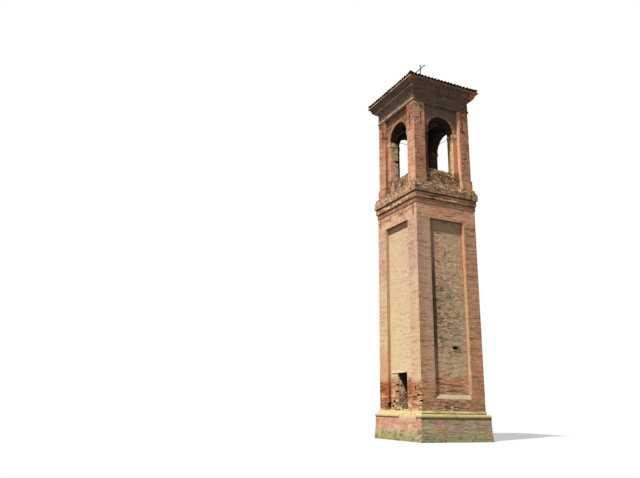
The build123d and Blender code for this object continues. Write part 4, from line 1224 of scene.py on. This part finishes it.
def lay_return(blocks, side, place, ends, bottom, top, worn):
    """Bricks over a wall that turns inwards at a place along a side. Its outer end is a corner."""
    look, distance = return_wall(side, place)
    run = (-ends[0], -ends[1]) if place < 0 else (ends[1], ends[0])
    lay(blocks, look, distance, *run, bottom, top, (place < 0, place > 0), worn=worn)


print("course height", COURSE, "brick", BRICK_LENGTH, "x", BRICK_WIDTH)

# %% [markdown]
# ## How worn is it here?
#
# Wear follows water. The foot of the shaft has drawn up damp and salt, and around the doorway people
# have pulled bricks out. A noise field makes neighbours wear alike, which a plain random number for
# each brick would not: real damage comes in patches.

# %% Wear over the shaft
def field(x, y, z, size, shift=0.0):
    """Smooth noise about 0, between -1 and 1, with lumps of this size."""
    return noise.noise(Vector((x / size + shift, y / size - shift, z / size + 2 * shift)))


DAMP_TOP = 3.2
DAMP_REACH = 1.6


def shaft_wear(x, y, z):
    wear = 0.25 + 0.35 * max(field(x, y, z, 0.6), 0)
    if z < DAMP_TOP:
        wear += 0.45 * (DAMP_TOP - z) / DAMP_REACH * (0.6 + 0.6 * field(x, y, z, 0.35, 4))
    return wear


def panel_wear(x, y, z):
    if abs(y) > abs(x):
        return 0.45 + 0.6 * abs(field(x, y, z, 0.25, 2))
    if z > DAMP_TOP + 0.1:
        return 0.75 + 0.2 * field(x, y, z, 0.5)
    return shaft_wear(x, y, z) + 0.1


# %% Bricks of the shaft
WELL_HALF = PANEL_HALF
for side, out, blocks in sides(100):
    foot = FLOOR_LEVEL if side == "left" else PANEL_FOOT - PANEL_LEDGE_RISE
    if side != "left":
        lay(blocks, out, SHAFT_HALF, -SHAFT_HALF, SHAFT_HALF, FLOOR_LEVEL, foot, (True, True),
            worn=shaft_wear)
    for left, right in ((-SHAFT_HALF, -PANEL_HALF), (PANEL_HALF, SHAFT_HALF)):
        lay(blocks, out, SHAFT_HALF, left, right, foot, PANEL_HEAD, (True, True), worn=shaft_wear)
    lay(blocks, out, SHAFT_HALF, -SHAFT_HALF, SHAFT_HALF, PANEL_HEAD, SHAFT_TOP, (True, True),
        worn=shaft_wear)
    for place in (-PANEL_HALF, PANEL_HALF):
        lay_return(blocks, side, place, (SHAFT_HALF, PANEL_FACE), foot, PANEL_HEAD, shaft_wear)
    blocks.build(f"pier_bricks_{side}", "pier_bricks", "pier_brick")

# %% Bricks of the panels
def door_gap(z):
    return [(-DOOR_HALF, DOOR_HALF)] if z < DOOR_HEAD else []


for side, out, blocks in sides(200):
    with_door = side == "left"
    foot, gaps = (FLOOR_LEVEL, door_gap) if with_door else (PANEL_FOOT, None)
    lay(blocks, out, PANEL_FACE, -PANEL_HALF, PANEL_HALF, foot, PANEL_HEAD, gaps=gaps,
        worn=panel_wear)
    blocks.build(f"panel_bricks_{side}", "panel_bricks", "panel_plaster" if with_door else "panel_brick")

# %% [markdown]
# ## Doorway
#
# The sides of the doorway still have most of their lime plaster, so the courses there are nearly
# flush and take a plaster finish. A thin ledge of plaster is left over the opening.

# %% Sides of the doorway, and the ledge over it
blocks = Blocks(250)
for place in (-DOOR_HALF, DOOR_HALF):
    lay_return(blocks, "left", place, (PANEL_FACE, WELL_HALF), FLOOR_LEVEL, DOOR_HEAD, lambda x, y, z: 0.85)
blocks.build("door_reveals", "reveal_plaster", "panel_plaster")
blocks = Blocks(251)
LEDGE_ENDS = (-0.98, 0.50)
here = LEDGE_ENDS[0]
while here < LEDGE_ENDS[1]:
    length = blocks.draw.uniform(0.12, 0.3)
    end = min(here + length, LEDGE_ENDS[1])
    blocks.add((-PANEL_FACE, 0, DOOR_HEAD), (0, -1, 0), UP, (-1, 0, 0),
               (here, end - 0.004, 0.005, 0.06 + blocks.draw.normal(0, 0.006)),
               (-BED_DEPTH, 0.045 + blocks.draw.normal(0, 0.006)), 0.8)
    here = end
blocks.build("door_ledge", "ledge_plaster", "panel_plaster")

# %% [markdown]
# ## Plinth
#
# The plinth is the oldest and dampest part, and its lower part leans back a little. A wall that
# leans is laid as courses that each step back a few millimetres.

# %% Bricks of the plinth
PLINTH_FOOT_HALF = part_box("plinth")[1][0]
PLINTH_HALF = SHAFT_HALF + 0.20
BATTER_TOP = 0.90


def plinth_wear(x, y, z):
    return 0.5 + 0.4 * field(x, y, z, 0.3, 5) + 0.2 * (1 - z / PLINTH_TOP)


blocks = Blocks(300)
batter = (PLINTH_FOOT_HALF - PLINTH_HALF) / BATTER_TOP
for out in SIDES.values():
    lay(blocks, out, PLINTH_FOOT_HALF, -PLINTH_HALF, PLINTH_HALF, 0.008, BATTER_TOP, (True, True),
        worn=plinth_wear, lean=batter)
    lay(blocks, out, PLINTH_HALF, -PLINTH_HALF, PLINTH_HALF, BATTER_TOP, PLINTH_TOP, (True, True),
        worn=plinth_wear)
blocks.build("plinth_bricks", "plinth_bricks", "plinth_masonry")

# %% [markdown]
# ## The stepped cornice
#
# Three bands step out under the belfry. The lowest is a row of bricks on edge, which makes the
# toothed line in the photograph. Over it lie plain courses, and on top a slab of brick so eaten by
# frost that many faces are gone.

# %% Bricks on edge
def lay_on_edge(blocks, out, distance, half, bottom, top):
    """A row of upright bricks along a wall, with a few lost, mostly two or three together."""
    along, outward = (*turn(out), 0), (*out, 0)
    count = round(2 * half / (COURSE + JOINT))
    pitch = 2 * half / count
    for number in range(count):
        a = -half + number * pitch + JOINT / 2
        wear = blocks.wear(0.5, 0.25)
        if field(along[0] * a + out[0], along[1] * a + out[1], top, 0.13) > 0.22:
            continue
        blocks.add((out[0] * distance, out[1] * distance, 0), along, UP, outward,
                   (a, a + pitch - JOINT * (1 + 2 * wear), bottom, top - 0.05 * wear * blocks.draw.random()),
                   (-BRICK_WIDTH, PROUD * (1.3 - wear)), wear)


# %% Bricks of the stepped cornice
def cornice_wear(x, y, z):
    loss = field(x, y, z, 0.16, 3) + 0.5 * field(x, y, z, 0.5, 6)
    if loss > 0.42 and max(abs(x), abs(y)) > SHAFT_HALF + 0.12:
        return None
    return 0.65 + 0.5 * loss


lower_low, lower_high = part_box("cornice_lower_course")
middle_low, middle_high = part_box("cornice_middle_course")
slab_low, slab_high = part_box("cornice_slab")
QUIRK = 0.05
blocks = Blocks(400)
for out in SIDES.values():
    lay_on_edge(blocks, out, lower_high[0], lower_high[0] + PROUD, lower_low[2], lower_high[2] - QUIRK)
    lay(blocks, out, middle_high[0], middle_low[0], middle_high[0], middle_low[2], middle_high[2] - QUIRK,
        (True, True), worn=cornice_wear)
    lay(blocks, out, slab_high[0], slab_low[0], slab_high[0], slab_low[2], slab_high[2], (True, True),
        worn=cornice_wear)
blocks.build("stepped_cornice_bricks", "cornice_bricks", "cornice_brick")

# %% [markdown]
# ## Belfry walls
#
# The belfry repeats the shaft's scheme at a smaller scale: base blocks, corner piers, and between
# them a wall set back, with an arch. The inside faces are laid too, because the arches show them.

# %% Bricks of the belfry piers
def belfry_wear(x, y, z):
    wear = 0.3 + 0.4 * max(field(x, y, z, 0.5, 8), 0)
    if z < BASE_TOP + 0.3:
        wear += 0.3 + 0.3 * field(x, y, z, 0.2, 2)
    return wear


ARCH_CENTRE = IMPOST_HIGH


def arch_gap(radius):
    """The arch and the opening under it, as the gaps of a course."""
    def gaps(z):
        rise = z - ARCH_CENTRE
        if rise < 0:
            return [(-ARCH_HALF, ARCH_HALF)]
        if rise < radius:
            half = math.sqrt(radius ** 2 - rise ** 2)
            return [(-half, half)]
        return []
    return gaps


STAGES = ((BELFRY_HALF, BASE_TOP, BELFRY_TOP), (BASE_HALF, BELFRY_FLOOR, BASE_TOP))
for side, out, blocks in sides(500):
    for sign in (-1, 1):
        for outer, bottom, top in STAGES:
            ends = sorted((sign * outer, sign * BELFRY_INNER))
            lay(blocks, out, outer, *ends, bottom, top, (True, True), worn=belfry_wear)
        for outer, bottom, top in STAGES:
            lay_return(blocks, side, sign * BELFRY_INNER, (outer, ARCH_FACE), bottom, top, belfry_wear)
    blocks.build(f"belfry_pier_bricks_{side}", "belfry_bricks", "pier_brick")


# %% Bricks of the arch walls, inside and out
def parapet_gap(z):
    return [(-ARCH_HALF, ARCH_HALF)]


wall = (-BELFRY_INNER, BELFRY_INNER)
for side, out, walls, jambs in sides(600, 650):
    lay(walls, out, ARCH_FACE, *wall, BELFRY_FLOOR, IMPOST_LOW, gaps=parapet_gap, worn=belfry_wear)
    lay(walls, out, ARCH_FACE, *wall, IMPOST_HIGH, BELFRY_TOP, gaps=arch_gap(ARCH_HALF + ARCHIVOLT),
        worn=belfry_wear)
    inside = tuple(-value for value in out)
    lay(walls, inside, -BELFRY_INNER, *wall, BELFRY_FLOOR, BELFRY_TOP, gaps=arch_gap(ARCH_HALF),
        worn=belfry_wear)
    walls.build(f"arch_wall_bricks_{side}", "belfry_bricks", "pier_brick")
    for place in (-ARCH_HALF, ARCH_HALF):
        look, distance = return_wall(side, place)
        run = (-ARCH_FACE, -BELFRY_INNER) if place < 0 else (BELFRY_INNER, ARCH_FACE)
        lay(jambs, look, distance, *run, PARAPET_FACE_TOP, IMPOST_LOW, worn=belfry_wear)
    surface = "belfry_plaster" if side in ("front", "left") else "belfry_bricks"
    jambs.build(f"arch_jamb_bricks_{side}", surface, "pier_brick")

# %% [markdown]
# ## Arches
#
# The ring of an arch is bricks set like spokes, a thin face to the outside and a long one to the
# opening below. The same block serves, if its directions turn with the arch: along is the tangent,
# and up is the spoke.

# %% Rings of the arches
VOUSSOIR_PITCH = 0.072
for side, out, blocks in sides(700):
    along = Vector((*turn(out), 0))
    outward = Vector((*out, 0))
    centre = outward * IMPOST_FACE + Vector((0, 0, ARCH_CENTRE))
    count = round(math.pi * ARCH_HALF / VOUSSOIR_PITCH)
    half = math.pi * ARCH_HALF / count / 2 - JOINT / 2
    for number in range(count):
        angle = math.pi * (number + 0.5) / count
        spoke = along * math.cos(angle) + Vector(UP) * math.sin(angle)
        tangent = spoke.cross(outward)
        wear = blocks.wear(0.5, 0.2)
        blocks.add(centre, -tangent, spoke, outward,
                   (-half, half, ARCH_HALF - 0.004, ARCH_HALF + ARCHIVOLT - 0.01 * blocks.draw.random()),
                   (-0.06, PROUD * (1 - wear) + LEAST_PROUD), wear)
        depth = 0.0
        depths = (BRICK_WIDTH, BRICK_LENGTH, BRICK_LENGTH)
        for length in depths if number % 2 else reversed(depths):
            end = min(depth + length, IMPOST_FACE - BELFRY_INNER)
            wear = blocks.wear(0.4, 0.2)
            if end - depth > SHORTEST:
                blocks.add(centre + spoke * ARCH_HALF, -outward, -tangent, -spoke,
                           (depth + JOINT / 2, end - JOINT / 2, -half, half),
                           (-BED_DEPTH, PROUD * (1 - 0.7 * wear)), wear)
            depth = end
    blocks.build(f"arch_ring_{side}", "belfry_bricks", "pier_brick")

# %% [markdown]
# ## Parapets
#
# A low wall closes the foot of each arch. Its top is a ragged heap with moss on it.

# %% Bricks of the parapets
PARAPET_BACK = ARCH_FACE - 0.30
for side, out, blocks in sides(800):
    inside = tuple(-value for value in out)
    for look, distance in ((out, ARCH_FACE), (inside, -PARAPET_BACK)):
        lay(blocks, look, distance, -ARCH_HALF, ARCH_HALF, BELFRY_FLOOR, PARAPET_TOP, worn=belfry_wear)
    blocks.build(f"parapet_bricks_{side}", "belfry_bricks", "pier_brick")

# %% [markdown]
# ## Top cornice
#
# Moulded bricks were cut to the profile and laid side by side, so the cornice is a row of slices.
# Each slice below is the same outline pushed a few millimetres out, with a joint to the next. At a
# corner, every point of the outline goes on to its own distance along the wall, which makes the
# mitre without any cutting.

# %% Slices of a moulding
def arc_outline(start, end, sagitta, count):
    """Points on an arc from start to end in (distance, level), bulging by sagitta to its right."""
    chord = Vector((end[0] - start[0], end[1] - start[1]))
    bulge = Vector((chord[1], -chord[0])).normalized() * sagitta
    points = []
    for number in range(count + 1):
        t = number / count
        points.append((start[0] + chord[0] * t + bulge[0] * 4 * t * (1 - t),
                       start[1] + chord[1] * t + bulge[1] * 4 * t * (1 - t)))
    return points


MOULDING_PROUD = 0.006


def lay_moulding(name, outline, width, material, seed):
    """Moulded bricks on all four sides, each a slice of the outline."""
    draw = np.random.default_rng(seed)
    points, faces, tones = [], [], []
    back = min(distance for distance, level in outline) - 0.03
    loop = [(distance + MOULDING_PROUD, level) for distance, level in outline]
    loop += [(back, outline[-1][1]), (back, outline[0][1])]
    reach = back - 0.02
    count = round(2 * reach / width)
    pitch = 2 * reach / count
    for out in SIDES.values():
        for number in range(-1, count + 1):
            a = -reach + number * pitch + JOINT / 3
            b = -reach + (number + 1) * pitch - JOINT / 3
            push = draw.normal(0, 0.0025)
            start, tone = len(points), draw.random(3)
            for end in (a, b):
                for index, (distance, level) in enumerate(loop):
                    d = distance + (push if index < len(outline) else 0)
                    u = min(max(end, -d), d)
                    if number == -1 and end == a:
                        u = -d
                    if number == count and end == b:
                        u = d
                    points.append(spot(out, d, u, level))
                    tones.append(tone)
            size = len(loop)
            for index in range(size):
                after = (index + 1) % size
                faces.append((start + index, start + size + index, start + size + after, start + after))
            faces.append(tuple(start + index for index in range(size)))
            faces.append(tuple(start + size + index for index in reversed(range(size))))
    return make_piece(name, points, faces, material, tones)


# %% Astragal, cove and cyma
astragal_low, astragal_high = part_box("astragal")
frieze_low, frieze_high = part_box("frieze")
cove_low, cove_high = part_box("cornice_cove")
cyma_low, cyma_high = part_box("cornice_cyma")
CYMA_LIP = 0.045
lay_moulding("astragal_bricks", arc_outline((BELFRY_HALF, astragal_low[2] + 0.004),
             (BELFRY_HALF, astragal_high[2] - 0.004), 0.055, 6), BRICK_LENGTH, "dark_cornice", 901)
lay_moulding("cove_bricks", arc_outline((frieze_high[0], cove_low[2] + 0.004),
             (cove_high[0], cove_high[2] - 0.012), -0.028, 5), BRICK_WIDTH, "dark_cornice", 902)
middle = ((cove_high[0] + cyma_high[0]) / 2, (cyma_low[2] + cyma_high[2] - CYMA_LIP) / 2)
cyma_outline = arc_outline((cove_high[0], cyma_low[2] + 0.012), middle, 0.036, 4)
cyma_outline += arc_outline(middle, (cyma_high[0], cyma_high[2] - CYMA_LIP), -0.036, 4)[1:]
lay_moulding("cyma_bricks", cyma_outline, BRICK_WIDTH, "dark_cornice", 903)

# %% Frieze, and the pale edges with a painted highlight on the sunny sides
# Each edge starts from a place on the cornice, in distance and level. Its steps are metres out and
# up from there.
BEAD = (astragal_low[2] + astragal_high[2]) / 2
EDGES = {
    "cove_fillet": (
        (cove_high[0], cyma_low[2]), (0, -0.03), (0.022, -0.022), (0.026, 0.012), (0.004, 0.02),
    ),
    "cornice_lip": (
        (cyma_high[0], cyma_high[2]), (0.004, -0.01 - CYMA_LIP), (0.02, -CYMA_LIP), (0.022, -0.008),
        (0, -0.004),
    ),
    "astragal_highlight": (
        (BELFRY_HALF, BEAD), (0.054, -0.01), (0.062, 0.015), (0.052, 0.05), (0.036, 0.065),
    ),
}
for seed, (name, (place, *steps)) in enumerate(EDGES.items(), 905):
    outline = [(place[0] + forward, place[1] + rise) for forward, rise in steps]
    lay_moulding(name, outline, BRICK_LENGTH, "edge_highlight", seed)
blocks = Blocks(904)
for out in SIDES.values():
    lay(blocks, out, frieze_high[0], -frieze_high[0], frieze_high[0], frieze_low[2], frieze_high[2],
        (True, True))
blocks.build("frieze_bricks", "dark_cornice", "top_cornice")

# %% [markdown]
# ## Roof tiles
#
# Half-round clay tiles are laid in two layers: one row hollow side up, as a gutter, and one row
# hollow side down over the gaps. Every tile is a tapered shell with real thickness, so the eave
# shows the row of open mouths that the photograph has. The hips get a line of larger tiles.
#
# The frame has these rows as solid ribs.

# %% One half-round tile
TILE_PITCH = 0.24
TILE_LENGTH = 0.42
TILE_STEP = 0.34
TILE_THICKNESS = 0.014
TILE_ARC = 7
TILE_ROUND = 0.85


def tile_shell(points, faces, tones, foot, head, across, out, radii, hollow_up, tone):
    """A tapered half-round tile from foot to head. across and out are unit directions."""
    start = len(points)
    sign = -1 if hollow_up else 1
    for centre, radius in ((foot, radii[0]), (head, radii[1])):
        for shell in (0, TILE_THICKNESS):
            for step in range(TILE_ARC):
                angle = math.pi * step / (TILE_ARC - 1)
                r = radius + shell
                lift = sign * TILE_ROUND * r * math.sin(angle)
                points.append(centre + across * (r * math.cos(angle)) + out * lift)
                tones.append(tone)
    n = TILE_ARC
    inner_foot, outer_foot, inner_head, outer_head = (start + n * k for k in range(4))
    quads = []
    for k in range(n - 1):
        quads += [
            (outer_foot + k, outer_foot + k + 1, outer_head + k + 1, outer_head + k),
            (inner_foot + k + 1, inner_foot + k, inner_head + k, inner_head + k + 1),
            (inner_foot + k, inner_foot + k + 1, outer_foot + k + 1, outer_foot + k),
            (outer_head + k, outer_head + k + 1, inner_head + k + 1, inner_head + k),
        ]
    for k, flip in ((0, 1), (n - 1, -1)):
        quads.append((inner_foot + k, outer_foot + k, outer_head + k, inner_head + k)[::flip])
    faces += [quad[::-sign] for quad in quads]


# %% Four slopes
ROOF_PITCH = math.radians(19)
# A layer of tiles: how far it is set back from the eave, how high it lies over the deck, the radii
# of a tile at its foot and head, and whether its hollow side is up.
GUTTERS = (0.032, 0.080, (0.066, 0.080), True)
COVERS = (0.056, 0.074, (0.082, 0.064), False)
HIP_RADII = (0.105, 0.085)
roof_low, roof_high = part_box("roof_tiles")
ROOF_HALF = roof_high[0] - 0.004
draw = np.random.default_rng(950)
points, faces, tones = [], [], []
slope_length = ROOF_HALF / math.cos(ROOF_PITCH)
for out in SIDES.values():
    outward, along = Vector((*out, 0)), Vector((*turn(out), 0))
    climb = -outward * math.cos(ROOF_PITCH) + Vector(UP) * math.sin(ROOF_PITCH)
    normal = outward * math.sin(ROOF_PITCH) + Vector(UP) * math.cos(ROOF_PITCH)
    eave = outward * ROOF_HALF + Vector((0, 0, roof_low[2]))
    for set_back, height, radii, hollow_up in (GUTTERS, COVERS):
        columns = round(2 * ROOF_HALF / TILE_PITCH)
        for column in range(-columns // 2, columns // 2 + 1):
            across_place = (column + (0.5 if hollow_up else 0)) * TILE_PITCH
            for row in range(int(slope_length / TILE_STEP) + 1):
                foot_run = set_back + row * TILE_STEP + (0 if row else draw.uniform(0, 0.03))
                middle_run = (foot_run + 0.5 * TILE_LENGTH) * math.cos(ROOF_PITCH)
                if abs(across_place) > ROOF_HALF - 0.09 - (0 if row == 0 else middle_run - 0.1):
                    continue
                if abs(across_place) > ROOF_HALF - middle_run + 0.12:
                    continue
                twist = draw.normal(0, 0.012)
                base = eave + along * across_place + climb * foot_run
                foot = base + normal * (height + (0.012 if row else 0.0)) + along * draw.normal(0, 0.006)
                head = base + climb * TILE_LENGTH + normal * (height - 0.006) + along * twist
                tile_shell(points, faces, tones, foot, head, along, normal, radii, hollow_up, draw.random(3))
print(len(faces), "faces on the slopes")

# %% Four hips
hip_length = math.hypot(ROOF_HALF * math.sqrt(2), ROOF_HALF * math.tan(ROOF_PITCH))
for across, away in ((-1, -1), (1, -1), (1, 1), (-1, 1)):
    corner = Vector((across * ROOF_HALF, away * ROOF_HALF, roof_low[2]))
    top = Vector((0, 0, roof_low[2] + ROOF_HALF * math.tan(ROOF_PITCH)))
    climb = (top - corner).normalized()
    sideways = Vector((-away, across, 0)).normalized()
    normal = sideways.cross(climb)
    normal = normal if normal.z > 0 else -normal
    steps = int((hip_length - 0.2) / TILE_STEP)
    for step in range(steps):
        foot = corner + climb * (0.16 + step * TILE_STEP) + normal * 0.105 + sideways * draw.normal(0, 0.008)
        head = foot + climb * TILE_LENGTH - normal * 0.02
        tile_shell(points, faces, tones, foot, head, sideways if sideways.cross(climb).z > 0 else -sideways,
                   normal, HIP_RADII, False, draw.random(3))
tiles = make_piece("roof_coppi", points, faces, "tiles", tones)
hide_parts("roof_tiles")

# %% [markdown]
# ## Rubble, and what is left of the plaster
#
# Where bricks have fallen, they lie: on the slope under the belfry, on top of the parapets and in
# the doorway. Each piece of rubble is a block whose corners are all out of place, turned at random.

# %% Rubble
def heap(name, places, size, material, seed):
    """Broken pieces at these places, a point each, with a size that varies by a third."""
    draw = np.random.default_rng(seed)
    points, faces, tones = [], [], []
    for place in places:
        axes = Matrix.Rotation(draw.uniform(0, 6.28), 3, "Z") @ Matrix.Rotation(draw.normal(0, 0.35), 3, "X")
        half = np.array((1.0, 0.7, 0.5)) * size * draw.uniform(0.6, 1.3, 3) / 2
        start, tone = len(points), draw.random(3)
        for z in (-1, 1):
            for x, y in SQUARE:
                corner = np.array((x, y, z)) * half * draw.uniform(0.6, 1.15, 3)
                points.append(Vector(place) + axes @ Vector(corner))
                tones.append(tone)
        for face in ((3, 2, 1, 0), (4, 5, 6, 7), (0, 1, 5, 4), (1, 2, 6, 5), (2, 3, 7, 6), (3, 0, 4, 7)):
            faces.append(tuple(start + index for index in face))
    return make_piece(name, points, faces, material, tones)


# %% Rubble on the slope under the belfry
draw = np.random.default_rng(960)
weather_low, weather_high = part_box("cornice_weathering")
SLOPE_TOP_HALF = SHAFT_HALF + 0.03
places = []
for out in SIDES.values():
    for number in range(230):
        t = draw.random() ** 0.8
        distance = weather_high[0] + (SLOPE_TOP_HALF - weather_high[0]) * t - 0.02
        level_here = weather_low[2] + (weather_high[2] - weather_low[2]) * t
        u = draw.uniform(-distance, distance)
        places.append(spot(out, distance, u, level_here))
heap("slope_rubble", places, 0.13, "cornice_bricks", 961)

# %% Rubble on the parapets
places = []
for out in SIDES.values():
    for number in range(110):
        distance = draw.uniform(PARAPET_BACK + 0.02, ARCH_FACE - 0.02)
        u = draw.uniform(-ARCH_HALF + 0.05, ARCH_HALF - 0.05)
        x, y = spot(out, distance, u, ARCH_CENTRE)[:2]
        places.append((x, y, top_at(x, y, ARCH_CENTRE) + 0.01))
heap("parapet_rubble", places, 0.11, "belfry_bricks", 962)

# %% Rubble in the doorway and along its foot
places = []
for number in range(330):
    x = draw.uniform(-PANEL_FACE + 0.03, -WELL_HALF + 0.35)
    y = draw.uniform(-DOOR_HALF + 0.05, DOOR_HALF - 0.05)
    places.append((x, y, top_at(x, y, DOOR_HEAD - 0.1) + draw.uniform(-0.01, 0.03)))
heap_front = -PANEL_FACE + 0.01
for number in range(130):
    y = draw.uniform(-DOOR_HALF + 0.05, DOOR_HALF - 0.05)
    lip = top_at(heap_front + 0.02, y, DOOR_HEAD - 0.1)
    places.append((heap_front - draw.uniform(0, 0.02), y, draw.uniform(FLOOR_LEVEL, lip)))
heap("doorway_rubble", places, 0.13, "rubble", 963)
places = []
for number in range(170):
    x = -draw.uniform(PANEL_FACE + 0.02, SHAFT_HALF - 0.03)
    y = draw.uniform(-PANEL_HALF + 0.05, PANEL_HALF - 0.05)
    pile = 0.16 * max(1 - abs(y - 0.25) / 0.45, 0) + 0.05
    places.append((x, y, FLOOR_LEVEL + draw.uniform(0, pile)))
heap("recess_rubble", places, 0.10, "fallen_plaster", 964)

# %% [markdown]
# ## Finishes for the frame's own solids
#
# Last, each solid of the frame gets the finish of its part of the tower. Assigning to the material
# slots of its object is all that is needed. The masonry solids show only in the joints, where a
# brick is missing and on slopes, so they take the mortar finishes.

# %% Dress the frame
DRESS = {
    "pier_bed": ("shaft_pier", "panel_head_walls", "panel_foot_walls"),
    "panel_bed": ("front_panel", "right_panel", "back_panel", "left_panel"),
    "plinth_bed": ("plinth",),
    "moulding_plaster": ("base_moulding", "cross_base"),
    "broken_plaster": ("plaster_slope",),
    "hood_stone": ("vent_hood",),
    "cornice_bed": ("cornice_lower", "cornice_middle", "cornice_slab", "cornice_weathering"),
    "belfry_bed": ("belfry_pier", "arch_jambs", "arch_front", "arch_right", "arch_back", "arch_left",
                   "parapets"),
    "impost_stone": ("arch_imposts",),
    "dark_cornice": ("astragal", "frieze", "cornice_cove", "cornice_cyma", "roof_seat"),
    "tiles": ("roof_tiles",),
    "timber": ("roof_deck", "hip_rafters"),
    "iron": ("tie_rods", "anchor_bars", "cross"),
    "rubble": ("floor_fill",),
    "earth": ("belfry_floor",),
}
for node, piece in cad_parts.items():
    matches = [
        (len(start), finish)
        for finish, starts in DRESS.items()
        for start in starts
        if node.startswith(start)
    ]
    material = finishes[max(matches)[1]]
    if not piece.material_slots:
        piece.data.materials.append(material)
    for slot in piece.material_slots:
        slot.material = material
print("dressed", len(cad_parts), "nodes")
